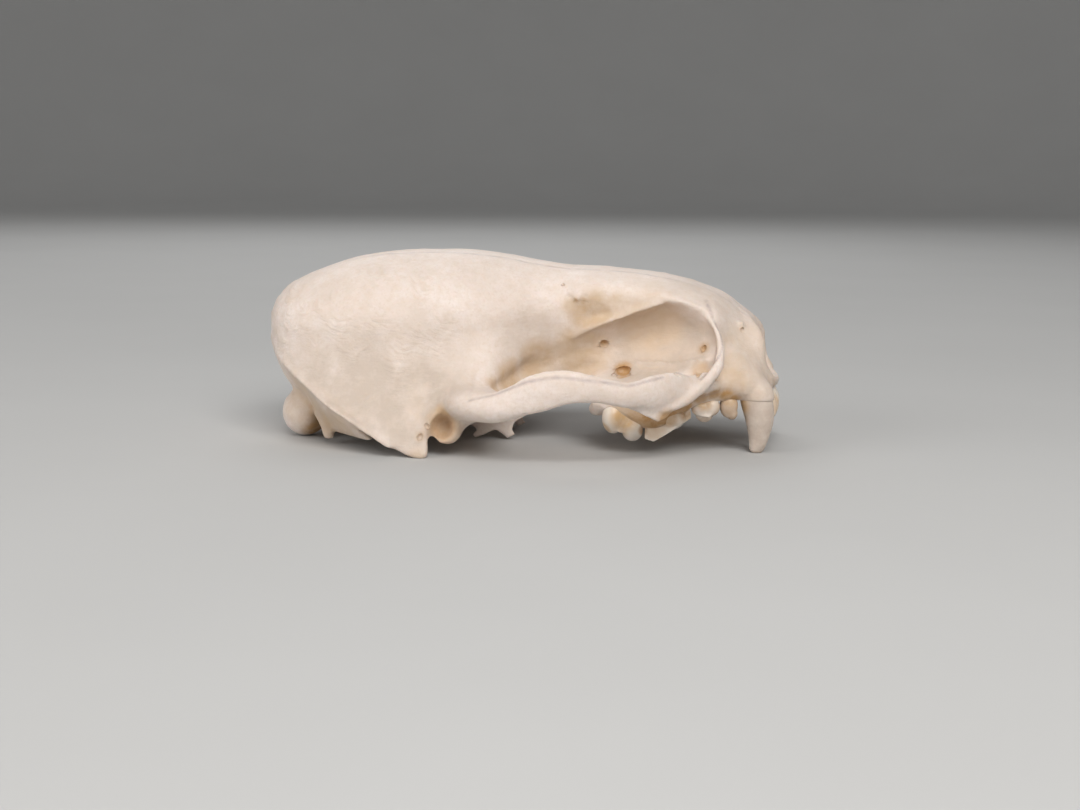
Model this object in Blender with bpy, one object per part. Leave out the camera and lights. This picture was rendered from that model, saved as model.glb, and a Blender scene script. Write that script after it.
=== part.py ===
"""Cranium of an adult sea otter, without its lower jaw, resting on its canines and mastoids.

Millimetres in this file, metres in the scene. +X is the nose, +Y the animal's left side,
+Z is up and z = 0 is the surface that the skull rests on. Tables of paired pieces describe
the right side, and the left side is its mirror image.
"""
import math

import bmesh
import bpy
import numpy as np
from mathutils import Euler, Matrix, Vector

# Driving dimensions of the skull, in millimetres
MM = 0.001
GAP = 0.3
CONDYLE_SPREAD = 11.5
CANINE_SPREAD = 17.2

# Grid of the fused bone, its rounds of smoothing and the triangles that it keeps
VOXEL = 0.9
SOFT = 14
FIRM = 4
CRISP = 1
BONE_TRIANGLES = 7600

# Grid of a fused tooth, its smoothing, and the triangles that each cheek tooth keeps
TOOTH_VOXEL = 0.5
TOOTH_SMOOTHING = 2
TOOTH_TRIANGLES = {"premolar_2": 110, "premolar_3": 140, "premolar_4": 220, "molar_1": 260}

# Points of a cross-section along its roof, side, lower edge and base, how full its roof is and
# how late its side bends outwards, and the sides and corners of the tooth shelf's section
ROOF_POINTS = 10
SIDE_POINTS = 8
EDGE_POINTS = 5
BASE_POINTS = 4
FULLNESS = 2.25
SIDE_BEND = 1.6
SHELF_SIDES = 28
SHELF_CORNER = 0.45

# The braincase: distance along the skull, roof height, half width and its height,
# edge of the side flare and its height, half width and height of the base
BRAINCASE = [
    (-66.8, 33.0, 6.0, 30.5, 5.5, 28.0, 4.0, 27.0),
    (-65.6, 36.2, 14.0, 29.5, 13.0, 23.5, 9.0, 22.0),
    (-61.5, 40.4, 21.0, 28.5, 21.5, 21.0, 14.0, 14.5),
    (-55.0, 43.4, 26.0, 27.5, 28.6, 17.8, 17.0, 10.5),
    (-47.0, 46.3, 29.4, 27.0, 34.4, 13.0, 18.0, 9.5),
    (-38.0, 48.1, 31.0, 27.5, 38.4, 8.0, 20.0, 9.0),
    (-33.0, 48.6, 31.1, 28.0, 40.0, 5.8, 21.0, 9.0),
    (-28.5, 48.9, 31.0, 28.5, 41.2, 3.6, 22.0, 9.0),
    (-21.5, 49.0, 30.3, 29.0, 40.6, 2.2, 22.0, 9.0),
    (-18.6, 49.0, 29.6, 29.2, 39.8, 7.6, 22.0, 9.4),
    (-13.0, 48.8, 28.0, 29.5, 39.6, 13.6, 22.0, 9.5),
    (-6.0, 48.1, 25.0, 30.5, 38.0, 14.4, 20.0, 10.0),
    (0.0, 47.1, 21.8, 31.5, 26.0, 15.4, 16.0, 11.5),
    (6.0, 46.2, 18.6, 33.0, 17.0, 17.0, 12.0, 13.0),
    (13.0, 45.4, 16.4, 35.5, 13.5, 19.0, 10.0, 14.5),
]

# The frontal bones and the wall between the orbits, with the same columns
FRONTAL = [
    (-4.0, 46.0, 17.0, 33.0, 16.0, 20.0, 12.0, 15.0),
    (4.0, 46.2, 16.4, 34.0, 15.0, 20.0, 12.0, 15.0),
    (11.0, 45.5, 16.4, 36.0, 13.6, 21.0, 11.0, 16.0),
    (17.0, 45.2, 18.4, 38.6, 13.6, 21.0, 12.0, 16.0),
    (23.0, 44.9, 18.4, 38.6, 14.2, 21.0, 13.0, 16.5),
    (30.0, 44.3, 18.8, 38.4, 15.4, 21.0, 14.0, 17.0),
    (38.0, 43.0, 20.4, 37.6, 18.0, 22.0, 16.0, 17.0),
    (45.0, 41.3, 20.6, 35.6, 22.0, 22.0, 18.0, 17.0),
    (50.0, 39.5, 18.6, 33.6, 21.0, 22.0, 18.0, 17.0),
]

# The muzzle and cheek in front of the orbits, with the same columns
MUZZLE = [
    (40.0, 42.4, 22.5, 34.5, 35.5, 18.5, 24.0, 14.5),
    (46.0, 41.0, 22.5, 33.0, 32.5, 18.5, 23.0, 14.0),
    (50.5, 39.4, 20.5, 31.5, 28.5, 18.0, 22.0, 13.6),
    (54.0, 37.4, 16.0, 29.5, 22.5, 17.0, 21.0, 13.2),
    (57.5, 34.0, 13.5, 27.0, 21.8, 16.0, 20.0, 13.2),
    (60.2, 30.8, 12.5, 25.0, 20.8, 16.0, 18.0, 13.4),
    (62.2, 25.5, 11.6, 22.0, 17.5, 16.0, 14.0, 14.0),
    (64.4, 19.0, 8.5, 17.5, 11.5, 16.0, 9.0, 14.5),
]

# The tooth-bearing shelf and palate: distance, top, half width, bottom
TOOTH_SHELF = [
    (1.0, 17.5, 10.5, 14.0),
    (10.0, 18.5, 12.5, 13.0),
    (19.0, 19.5, 18.0, 12.6),
    (25.0, 20.5, 26.0, 12.0),
    (34.0, 21.0, 27.4, 11.4),
    (42.0, 22.0, 26.0, 12.4),
    (50.0, 22.0, 22.8, 13.0),
    (58.0, 22.0, 22.6, 13.0),
    (62.4, 20.0, 17.5, 13.4),
    (65.2, 17.8, 10.0, 14.2),
]

# Bars, each by its centre, half height and half thickness. First the bone round the
# roots of the cheek teeth and of the canine, and the rim of the nasal opening
TOOTH_RIDGE = [
    (21.0, -19.0, 12.6, 3.0, 4.4),
    (26.0, -22.2, 12.2, 3.2, 4.0),
    (31.0, -23.0, 10.6, 3.9, 3.5),
    (35.0, -23.6, 9.8, 4.0, 3.3),
    (38.5, -23.6, 11.0, 3.7, 3.2),
    (42.0, -22.8, 13.0, 3.2, 3.1),
    (47.0, -21.6, 15.0, 2.5, 2.9),
    (54.0, -19.8, 15.4, 2.2, 2.6),
]
CANINE_ROOT = [(60.4, -17.2, 15, 4.6, 4.4), (57.6, -17.0, 20, 4.2, 4.2), (54.0, -15.6, 26, 3.0, 3.0)]
NASAL_RIM = [
    (54.8, -2.4, 33.8, 2.4, 2.8),
    (57.4, -6.8, 31.4, 2.6, 2.8),
    (60.0, -10.4, 28.4, 2.7, 2.8),
    (60.8, -12.0, 24.8, 2.7, 2.8),
    (61.0, -12.2, 21.0, 2.7, 2.8),
    (62.6, -9.6, 17.4, 2.3, 2.4),
]

# The bony ear tube, the socket for the lower jaw and the lip behind it
EAR_TUBE = [(-16.4, -24, 9.4, 4.8, 4.8), (-15.2, -31, 8.2, 4.8, 4.5), (-14.3, -38.2, 7.4, 5.0, 4.4)]
JAW_SOCKET = [(-6.5, -20, 13.0, 4.0, 5.4), (-5.6, -32, 13.4, 4.0, 5.6), (-3.5, -42, 14.0, 3.6, 5.0)]
SOCKET_LIP = [(-10.4, -24, 10.4, 2.4, 2.0), (-9.6, -33, 10.0, 2.6, 2.0), (-7.6, -40, 10.6, 2.2, 2.0)]

# The cheek arch, its upturned front edge and the crest that runs down to the mastoid
ARCH = [
    (49.0, -26.0, 19.4, 2.6, 2.2),
    (44.6, -31.0, 18.0, 3.4, 2.4),
    (40.4, -35.4, 17.9, 4.6, 2.5),
    (36.5, -39.2, 17.8, 4.7, 2.4),
    (31.0, -43.5, 17.6, 3.4, 2.1),
    (24.5, -46.6, 19.0, 3.5, 1.9),
    (17.5, -48.4, 19.8, 4.4, 1.8),
    (10.0, -48.4, 18.4, 5.0, 2.0),
    (3.5, -47.0, 15.6, 4.2, 2.6),
    (-3.0, -43.6, 13.6, 4.0, 4.4),
    (-9.0, -37.5, 13.4, 4.4, 6.2),
    (-13.6, -31.6, 13.6, 3.4, 4.6),
]
UPTURN = [
    (34.0, -41.0, 19.6, 1.2, 1.3),
    (37.5, -38.6, 20.8, 1.5, 1.4),
    (41.0, -35.6, 21.4, 1.5, 1.4),
    (44.0, -33.0, 20.6, 1.1, 1.2),
]
MASTOID_CREST = [
    (-64.6, -14.0, 25.4, 1.7, 1.7),
    (-61.6, -20.2, 22.4, 1.7, 1.7),
    (-56.0, -27.0, 18.7, 1.6, 1.5),
    (-50.0, -32.2, 15.3, 1.6, 1.5),
    (-45.7, -35.2, 12.5, 1.6, 1.5),
    (-40.8, -37.6, 9.8, 1.6, 1.5),
    (-36.2, -39.0, 7.4, 1.6, 1.7),
    (-31.5, -40.4, 4.6, 1.7, 2.0),
    (-27.5, -40.8, 2.3, 2.2, 2.4),
]

# The front rim of the orbit
ORBIT_RIM = [
    (47.6, -19.4, 34.6, 0.7, 0.7),
    (49.6, -20.4, 32.4, 0.9, 0.9),
    (51.0, -21.6, 29.8, 1.1, 1.1),
    (51.7, -23.8, 26.6, 1.3, 1.3),
    (51.4, -26.2, 23.4, 1.5, 1.4),
    (49.4, -29.6, 20.2, 1.7, 1.5),
    (45.6, -33.2, 17.0, 1.8, 1.6),
    (42.0, -35.6, 14.8, 1.6, 1.5),
    (38.0, -38.0, 13.4, 1.3, 1.3),
]

# Hollows, in the same way: the orbit, the temple behind it, the canal under the orbit
# for the nerves of the face, and the ear canal
ORBIT = [
    (52.4, -30.0, 27.8, 1.5, 2.5),
    (50.8, -30.0, 27.8, 5.8, 8.0),
    (47.0, -30.0, 28.8, 8.6, 12.6),
    (42.5, -30.0, 29.6, 9.6, 16.2),
    (38.0, -30.0, 29.4, 11.0, 17.0),
    (34.0, -30.0, 28.9, 10.1, 17.6),
    (24.0, -29.4, 26.0, 8.8, 16.8),
    (14.0, -27.6, 22.2, 7.2, 13.4),
    (5.0, -25.0, 19.4, 4.6, 7.0),
]
TEMPLE_HOLLOW = [
    (-3.0, -33.6, 16.8, 1.4, 1.6),
    (0.0, -29.6, 18.0, 2.8, 3.8),
    (4.0, -24.8, 20.2, 4.6, 5.8),
    (8.0, -22.0, 22.2, 6.0, 7.2),
    (12.0, -21.6, 23.2, 6.8, 7.8),
    (17.0, -22.8, 23.8, 6.8, 8.8),
    (22.0, -25.0, 24.6, 6.0, 9.6),
]
NERVE_CANAL = [(38, -25.5, 23, 3.0, 2.2), (47, -24.6, 22.6, 3.2, 2.2), (62, -24.0, 22.0, 3.4, 2.6)]
EAR_CANAL = [
    (-14.4, -50.0, 7.4, 5.0, 4.4),
    (-14.9, -39.0, 7.5, 4.1, 3.7),
    (-15.5, -36.0, 7.8, 3.4, 3.2),
    (-15.9, -33.6, 8.0, 1.6, 1.6),
]

# Corners of angular pieces: the outer back of the skull, the mastoid's foot, the lower
# corner of the cheek and the hollow under the brow
OUTER_OCCIPUT = [
    (-60.0, -16.5, 19.5),
    (-54.0, -27.0, 16.0),
    (-47.0, -33.2, 11.4),
    (-38.0, -37.6, 6.6),
    (-31.0, -39.6, 2.6),
    (-57.0, -14.0, 13.0),
    (-52.6, -19.0, 7.0),
    (-48.4, -22.6, 2.6),
    (-46.0, -24.0, 2.6),
    (-40.0, -30.0, 3.4),
    (-33.0, -36.0, 3.2),
    (-45.0, -15.0, 11.0),
    (-35.0, -20.0, 10.0),
    (-54.0, -10.0, 15.0),
]
MASTOID_FOOT = [
    (-31.0, -39.0, 4.4),
    (-28.6, -40.2, 2.9),
    (-26.8, -40.8, 1.5),
    (-24.0, -40.8, 0.2),
    (-20.4, -40.6, -0.4),
    (-18.6, -40.0, 0.3),
    (-18.4, -39.0, 3.6),
    (-19.2, -37.6, -0.2),
    (-24.0, -37.8, 0.2),
    (-30.0, -36.0, 3.4),
    (-19.4, -35.0, 8.0),
    (-20.0, -37.4, 7.0),
    (-28.0, -37.6, 8.0),
]
CHEEK_CORNER = [
    (27.0, -44.4, 16.0),
    (31.0, -43.0, 13.8),
    (35.4, -40.4, 11.2),
    (37.8, -38.6, 9.8),
    (39.8, -37.2, 10.8),
    (43.0, -35.2, 15.0),
    (46.0, -33.6, 18.4),
    (44.0, -34.0, 20.6),
    (30.0, -41.0, 14.4),
    (36.4, -37.0, 10.8),
    (39.4, -34.4, 12.0),
    (36.0, -39.6, 19.4),
    (41.0, -36.0, 20.2),
]
BROW_HOLLOW = [
    (15.6, -17.0, 37.0),
    (27.0, -17.6, 37.0),
    (17.0, -15.6, 32.4),
    (22.4, -16.2, 33.9),
    (12.0, -21.0, 38.6),
    (31.6, -21.0, 37.8),
    (15.4, -21.0, 29.8),
    (27.4, -21.0, 33.4),
    (12.0, -21.0, 33.6),
]

# Upright pieces: height, centre, half length, half width
JUGULAR = [(8.0, -49.4, -21.0, 3.6, 2.6), (4.0, -48.4, -22.6, 1.9, 1.6), (1.1, -47.5, -23.6, 1.7, 1.2)]
CANINE_SOCKET = [
    (20.0, 58.8, -16.8, 3.4, 3.4),
    (16.6, 60.2, -17.3, 4.6, 4.2),
    (14.2, 60.7, -17.5, 4.7, 4.2),
    (13.2, 60.8, -17.5, 4.4, 3.9),
]
CANINE = [
    (20.0, 57.6, -CANINE_SPREAD, 1.4, 1.4),
    (17.0, 59.2, -CANINE_SPREAD - 0.2, 2.9, 2.8),
    (13.4, 60.7, -CANINE_SPREAD - 0.4, 4.1, 3.5),
    (11.0, 61.2, -CANINE_SPREAD - 0.4, 3.95, 3.4),
    (8.6, 61.6, -CANINE_SPREAD - 0.3, 3.6, 3.15),
    (6.5, 61.7, -CANINE_SPREAD, 3.2, 2.85),
    (4.4, 61.6, -CANINE_SPREAD + 0.2, 2.7, 2.5),
    (2.3, 61.4, -CANINE_SPREAD + 0.3, 2.25, 2.1),
    (0.6, 61.1, -CANINE_SPREAD + 0.5, 1.75, 1.65),
    (0.0, 61.1, -CANINE_SPREAD + 0.5, 1.15, 1.1),
]

# The pterygoid plate with its two hooks, seen from the side: distance along the skull, height
PTERYGOID_OUTLINE = [
    (-15.0, 9.0),
    (-14.6, 4.0),
    (-11.4, 2.6),
    (-12.8, 1.2),
    (-12.0, 0.2),
    (-10.2, 0.9),
    (-6.7, 2.6),
    (-4.8, 1.4),
    (-3.5, 0.4),
    (-1.4, 1.4),
    (-2.2, 2.6),
    (-1.4, 4.6),
    (2.2, 6.8),
    (7.0, 9.5),
    (7.0, 14.0),
    (-13.0, 13.0),
]

# The pterygoid plate's inner and outer distance from the midline
PTERYGOID_SIDES = (-8.4, -10.4)

# Round pieces: centre and radii, and the turn in degrees where there is one
CONDYLE = ((-57.0, -CONDYLE_SPREAD, 6.5), (6.5, 7.8, 6.7), (0, 20, 22))
OCCIPITAL_BASE = ((-50.0, 0.0, 11.5), (11.0, 19.0, 6.5))
BULLA = ((-17.5, -20.5, 9.8), (11.0, 9.6, 5.6))
RIDGE_END = ((21.0, -17.6, 10.2), (3.1, 5.0, 2.3), (0, -8, 8))
INCISOR_BONE = ((62.6, 0.0, 16.4), (3.6, 11.5, 2.8))
SPINAL_OPENING = ((-60.0, 0.0, 12.0), (13.0, 10.5, 6.8))
NASAL_OPENING = ((64.0, 0.0, 24.2), (12.0, 9.8, 6.8), (0, -18, 0))
PALATE_VAULT = ((34.0, 0.0, 11.0), (30.0, 14.5, 5.6))
AIRWAY = ((-6.0, 0.0, 8.5), (14.0, 7.4, 6.0))

# Where the whole bone is parted: boxes on the right side, the bulla's margin, and outlines
# seen from the side
SIDE_BOXES = {
    "zygomatic_arch": ((-1.5, 60.0, 0.0), (39.5, 31.0, 32.0)),
    "pterygoid": ((-15.6, 11.6, -2.0), (3.0, 7.2, 8.0)),
}
BULLA_MARGIN = 0.4
CUTS = {
    "occiput": [(-90, 70), (-61, 70), (-61, 50), (-43, -5), (-90, -5)],
    "frontal": [(7, 70), (7, 19.6), (40, 20.8), (45.5, 27), (48.5, 70)],
    "muzzle": [(42, 18.6), (80, 18.6), (80, 70), (40, 70)],
    "upper_jaw": [(3, -5), (80, -5), (80, 40), (7, 40)],
}
CUT_REACH = 70.0

# The cheek teeth: round cusps as centre and radii, and the corners of the block between them
PREMOLAR_2 = ([
    ((53.9, -19.6, 12.2), (2.3, 1.8, 3.2)),
    ((54.7, -19.2, 10.2), (1.5, 1.6, 1.7)),
], [[
    (52.2, -20.2, 13.0), (53.2, -20.6, 10.2), (55.6, -20.4, 9.8), (56.2, -19.9, 12.0),
    (54.4, -18.8, 16.5), (52.8, -19.0, 16.5), (53.4, -18.2, 11.0), (55.2, -18.2, 11.0),
]])
PREMOLAR_3 = ([
    ((47.0, -21.4, 11.6), (2.4, 1.9, 2.2)),
    ((49.6, -21.2, 12.0), (2.2, 1.8, 2.4)),
    ((47.9, -20.4, 9.8), (2.2, 1.6, 1.9)),
], [[
    (44.9, -22.6, 10.4), (47.4, -23.1, 9.6), (49.4, -22.9, 9.4), (51.5, -21.9, 11.6), (51.4, -21.8, 13.6),
    (49.6, -20.8, 17.0), (46.0, -21.0, 17.0), (45.0, -22.2, 12.6), (45.8, -19.6, 11.0), (50.8, -19.4, 12.0),
]])
PREMOLAR_4 = ([
    ((40.4, -23.9, 9.2), (3.0, 2.2, 2.0)),
    ((39.4, -17.4, 8.4), (3.6, 3.6, 3.2)),
], [[
    (33.3, -25.0, 4.0), (35.6, -25.7, 3.3), (38.3, -25.7, 5.0), (41.6, -24.9, 7.3), (44.8, -23.2, 9.2),
    (44.6, -22.8, 11.2), (43.0, -21.6, 15.0), (35.0, -21.6, 13.0), (33.3, -24.4, 7.2), (34.0, -18.0, 5.8),
    (36.6, -15.4, 6.8), (41.0, -16.8, 9.0), (44.0, -19.6, 10.8), (42.4, -18.0, 14.0), (36.0, -16.8, 13.0),
]])
MOLAR_1 = ([
    ((25.4, -23.5, 8.8), (2.9, 3.0, 3.9)),
    ((30.2, -23.5, 6.0), (2.7, 3.0, 2.9)),
    ((29.4, -16.4, 7.2), (3.5, 3.6, 3.4)),
    ((25.0, -16.8, 8.2), (3.0, 3.6, 3.0)),
    ((27.6, -19.8, 8.6), (4.4, 4.6, 2.4)),
], [[
    (24.6, -24.6, 12.4), (27.0, -25.2, 12.2), (32.6, -25.2, 8.8), (32.5, -25.2, 6.0), (28.6, -25.6, 5.2),
    (24.8, -25.6, 5.8), (23.4, -25.0, 7.4), (24.0, -20.0, 9.0), (32.0, -20.0, 7.0), (28.0, -20.0, 13.0),
], [
    (24.0, -22.6, 11.0), (32.4, -22.0, 8.0), (32.0, -14.8, 9.6), (24.4, -14.8, 11.0), (28.0, -13.4, 9.6),
    (25.0, -21.6, 15.0), (31.4, -21.2, 14.0), (31.0, -16.0, 15.0), (25.4, -16.0, 15.0),
]])
CHEEK_TEETH = {
    "premolar_2": PREMOLAR_2,
    "premolar_3": PREMOLAR_3,
    "premolar_4": PREMOLAR_4,
    "molar_1": MOLAR_1,
}

# The incisors: centre of each crown and how much wider each is than the one before it
INCISORS = [(65.2, -1.9), (65.0, -5.3), (64.4, -9.0)]
INCISOR_WIDTH = 1.3
INCISOR_GROWTH = 0.22

# Colours and roughness of bone and enamel
BONE_COLOUR = (0.87, 0.80, 0.71)
BONE_ROUGHNESS = 0.6
ENAMEL_COLOUR = (0.87, 0.81, 0.68)
ENAMEL_ROUGHNESS = 0.35


def monotone(xs, values, x):
    """A smooth run through the stations that never overshoots between two of them."""
    xs, values = np.asarray(xs, float), np.asarray(values, float)
    steps = np.diff(xs)
    slopes = np.diff(values, axis=0) / steps[:, None]
    inner = np.where(
        slopes[:-1] * slopes[1:] > 0,
        2 * slopes[:-1] * slopes[1:] / (slopes[:-1] + slopes[1:] + 1e-12),
        0,
    )
    tangents = np.vstack([slopes[:1], inner, slopes[-1:]])
    index = np.clip(np.searchsorted(xs, x) - 1, 0, len(steps) - 1)
    t = ((x - xs[index]) / steps[index])[:, None]
    h = steps[index][:, None]
    return (
        (2 * t**3 - 3 * t**2 + 1) * values[index]
        + (t**3 - 2 * t**2 + t) * h * tangents[index]
        + (3 * t**2 - 2 * t**3) * values[index + 1]
        + (t**3 - t**2) * h * tangents[index + 1]
    )


def new_object(name, mesh):
    made = bpy.data.objects.new(name, mesh)
    bpy.context.scene.collection.objects.link(made)
    return made


def tube_of_rings(name, rings):
    """Closed body through rings of points in millimetres, each end closed by a fan."""
    bm = bmesh.new()
    loops = [[bm.verts.new(Vector(p) * MM) for p in ring] for ring in rings]
    count = len(loops[0])
    for near, far in zip(loops, loops[1:]):
        for i in range(count):
            j = (i + 1) % count
            bm.faces.new((near[i], near[j], far[j], far[i]))
    for loop in (loops[0], loops[-1]):
        centre = sum((v.co for v in loop), Vector()) / count
        hub = bm.verts.new(centre)
        for i in range(count):
            bm.faces.new((loop[i], loop[(i + 1) % count], hub))
    bmesh.ops.recalc_face_normals(bm, faces=bm.faces)
    mesh = bpy.data.meshes.new(name)
    bm.to_mesh(mesh)
    bm.free()
    return new_object(name, mesh)


def skull_section(roof, half_width, wide_at, flare, flare_at, base, base_at, fullness=FULLNESS):
    """Right half of a cross-section from the roof's midline to the base's midline."""
    points = []
    for angle in np.linspace(0, math.pi / 2, ROOF_POINTS):
        across = math.sin(angle) ** (2 / fullness)
        up = max(math.cos(angle), 0.0) ** (2 / fullness)
        points.append((half_width * across, wide_at + (roof - wide_at) * up))
    for t in np.linspace(0, 1, SIDE_POINTS)[1:]:
        points.append((half_width + (flare - half_width) * t**SIDE_BEND, wide_at + (flare_at - wide_at) * t))
    for t in np.linspace(0, 1, EDGE_POINTS)[1:]:
        points.append((flare + (base - flare) * t, flare_at + (base_at - flare_at) * t))
    for t in np.linspace(0, 1, BASE_POINTS)[1:]:
        points.append((base * (1 - t), base_at))
    return points


def loft(name, stations, spacing=1.5):
    """Body through cross-sections across the skull, the same on both sides."""
    xs = [row[0] for row in stations]
    x = np.linspace(xs[0], xs[-1], int((xs[-1] - xs[0]) / spacing) + 1)
    rows = monotone(xs, [row[1:] for row in stations], x)
    rings = []
    for place, row in zip(x, rows):
        right = skull_section(*row)
        rings.append([(place, -y, z) for y, z in right] + [(place, y, z) for y, z in right[-2:0:-1]])
    return tube_of_rings(name, rings)


def shelf(name, stations, spacing=1.5):
    """Flat body with rounded sides: distance, top, half width, bottom."""
    xs = [row[0] for row in stations]
    x = np.linspace(xs[0], xs[-1], int((xs[-1] - xs[0]) / spacing) + 1)
    rings = []
    for place, (top, half, bottom) in zip(x, monotone(xs, [row[1:] for row in stations], x)):
        ring = []
        for angle in np.linspace(0, 2 * math.pi, SHELF_SIDES, endpoint=False):
            c, s = math.cos(angle), math.sin(angle)
            y = half * math.copysign(abs(c) ** SHELF_CORNER, c)
            z = (top + bottom) / 2 + (top - bottom) / 2 * math.copysign(abs(s) ** SHELF_CORNER, s)
            ring.append((place, y, z))
        rings.append(ring)
    return tube_of_rings(name, rings)


def sweep(name, stations, sides=14, steps=5):
    """Oval bar along a smooth path: centre, half height, half thickness."""
    rows = np.array(stations, float)
    index = np.arange(len(rows))
    rows = monotone(index, rows, np.linspace(0, len(rows) - 1, (len(rows) - 1) * steps + 1))
    path = rows[:, :3]
    ahead = np.gradient(path, axis=0)
    rings = []
    for centre, way, (tall, thick) in zip(path, ahead, rows[:, 3:5]):
        way = Vector(way).normalized()
        side = way.cross(Vector((0, 0, 1)))
        side = Vector((0, 1, 0)) if side.length < 0.2 else side.normalized()
        up = side.cross(way).normalized()
        ring = []
        for k in range(sides):
            angle = 2 * math.pi * k / sides
            ring.append(Vector(centre) + up * tall * math.cos(angle) + side * thick * math.sin(angle))
        rings.append(ring)
    return tube_of_rings(name, rings)


def stack(name, stations, sides=12, steps=3):
    """Upright body through level ovals: height, centre, half length, half width."""
    rows = np.array(stations, float)
    index = np.arange(len(rows))
    rings = []
    levels = np.linspace(0, len(rows) - 1, (len(rows) - 1) * steps + 1)
    for z, x, y, long, wide in monotone(index, rows, levels):
        turns = [2 * math.pi * k / sides for k in range(sides)]
        rings.append([(x + long * math.cos(a), y + wide * math.sin(a), z) for a in turns])
    return tube_of_rings(name, rings)


def lump(name, centre, radii, turn=(0, 0, 0), fineness=3):
    """Ellipsoid with its turn in degrees."""
    bm = bmesh.new()
    bmesh.ops.create_icosphere(bm, subdivisions=fineness, radius=1.0)
    mesh = bpy.data.meshes.new(name)
    bm.to_mesh(mesh)
    bm.free()
    spin = Euler([math.radians(a) for a in turn]).to_matrix().to_4x4()
    size = Matrix.Diagonal((*[r * MM for r in radii], 1))
    mesh.transform(Matrix.Translation(Vector(centre) * MM) @ spin @ size)
    return new_object(name, mesh)


def wedge(name, points):
    """Angular piece: the smallest convex body round some points."""
    bm = bmesh.new()
    for point in points:
        bm.verts.new(Vector(point) * MM)
    made = bmesh.ops.convex_hull(bm, input=bm.verts)
    inside = [v for v in made["geom_interior"] if isinstance(v, bmesh.types.BMVert)]
    bmesh.ops.delete(bm, geom=inside, context="VERTS")
    bmesh.ops.recalc_face_normals(bm, faces=bm.faces)
    mesh = bpy.data.meshes.new(name)
    bm.to_mesh(mesh)
    bm.free()
    return new_object(name, mesh)


def other_side(piece, name):
    """Mirror image of a piece across the skull's midline."""
    mesh = piece.data.copy()
    mesh.transform(Matrix.Diagonal((1, -1, 1, 1)))
    mesh.flip_normals()
    return new_object(name, mesh)


def both_sides(piece):
    return [piece, other_side(piece, piece.name + "_left")]


def drop(pieces):
    for piece in pieces:
        bpy.data.objects.remove(piece)


def settle(piece):
    """Replace a piece's mesh by the one that its modifiers make."""
    bpy.context.view_layer.update()
    graph = bpy.context.evaluated_depsgraph_get()
    mesh = bpy.data.meshes.new_from_object(piece.evaluated_get(graph))
    piece.modifiers.clear()
    piece.data = mesh


def joined(name, pieces):
    bm = bmesh.new()
    for piece in pieces:
        bm.from_mesh(piece.data)
    mesh = bpy.data.meshes.new(name)
    bm.to_mesh(mesh)
    bm.free()
    drop(pieces)
    return new_object(name, mesh)


def fuse(name, pieces, smoothing, voxel=VOXEL, several=False):
    """One closed body from overlapping pieces, or several, with softened joints."""
    body = joined(name, pieces)
    skin = body.modifiers.new("skin", "REMESH")
    skin.mode = "VOXEL"
    skin.voxel_size = voxel * MM
    if smoothing:
        soften = body.modifiers.new("soften", "SMOOTH")
        soften.factor = 0.5
        soften.iterations = smoothing
    settle(body)
    if not several:
        keep_largest(body)
    return body


def boolean(body, tool, operation, solver="EXACT"):
    cut = body.modifiers.new(operation.lower(), "BOOLEAN")
    cut.operation = operation
    cut.solver = solver
    cut.object = tool
    settle(body)


def carve(body, cutters, voxel=VOXEL):
    """Hollow a body with cutters that are fused first."""
    tool = fuse("cutter", cutters, CRISP, voxel, several=True)
    boolean(body, tool, "DIFFERENCE")
    drop([tool])
    keep_largest(body)


def islands(bm):
    """Lists of faces, one for each closed surface."""
    unseen = set(bm.faces)
    found = []
    while unseen:
        waiting = [unseen.pop()]
        group = list(waiting)
        while waiting:
            face = waiting.pop()
            for edge in face.edges:
                for other in edge.link_faces:
                    if other in unseen:
                        unseen.discard(other)
                        waiting.append(other)
                        group.append(other)
        found.append(group)
    return found


def volume(faces):
    total = 0.0
    for face in faces:
        first, *rest = [v.co for v in face.verts]
        for a, b in zip(rest, rest[1:]):
            total += first.dot(a.cross(b)) / 6
    return total


def keep_largest(body):
    """Drop every scrap and inner surface but the body's largest closed surface."""
    bm = bmesh.new()
    bm.from_mesh(body.data)
    bm.faces.ensure_lookup_table()
    groups = sorted(islands(bm), key=volume)
    for group in groups[:-1]:
        bmesh.ops.delete(bm, geom=group, context="FACES")
    loose = [v for v in bm.verts if not v.link_faces]
    bmesh.ops.delete(bm, geom=loose, context="VERTS")
    bm.to_mesh(body.data)
    bm.free()


def thin_out(body, triangles):
    """Bring a body down to about so many triangles."""
    bm = bmesh.new()
    bm.from_mesh(body.data)
    bmesh.ops.triangulate(bm, faces=bm.faces)
    count = len(bm.faces)
    bm.to_mesh(body.data)
    bm.free()
    if count > triangles:
        fewer = body.modifiers.new("fewer", "DECIMATE")
        fewer.ratio = triangles / count
        settle(body)


def copy_of(body, name):
    return new_object(name, body.data.copy())


def widened(outline, distance):
    """Outline moved outwards by a distance on every edge, its corners mitred."""
    points = [Vector(p) for p in outline]
    area = sum(a.cross(b) for a, b in zip(points, points[1:] + points[:1]))
    outwards = math.copysign(1.0, area)
    moved = []
    for before, here, after in zip(points[-1:] + points[:-1], points, points[1:] + points[:1]):
        first = (here - before).normalized()
        second = (after - here).normalized()
        normals = [Vector((d.y, -d.x)) * outwards for d in (first, second)]
        middle = (normals[0] + normals[1]).normalized()
        moved.append(here + middle * (distance / middle.dot(normals[0])))
    return moved


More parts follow.
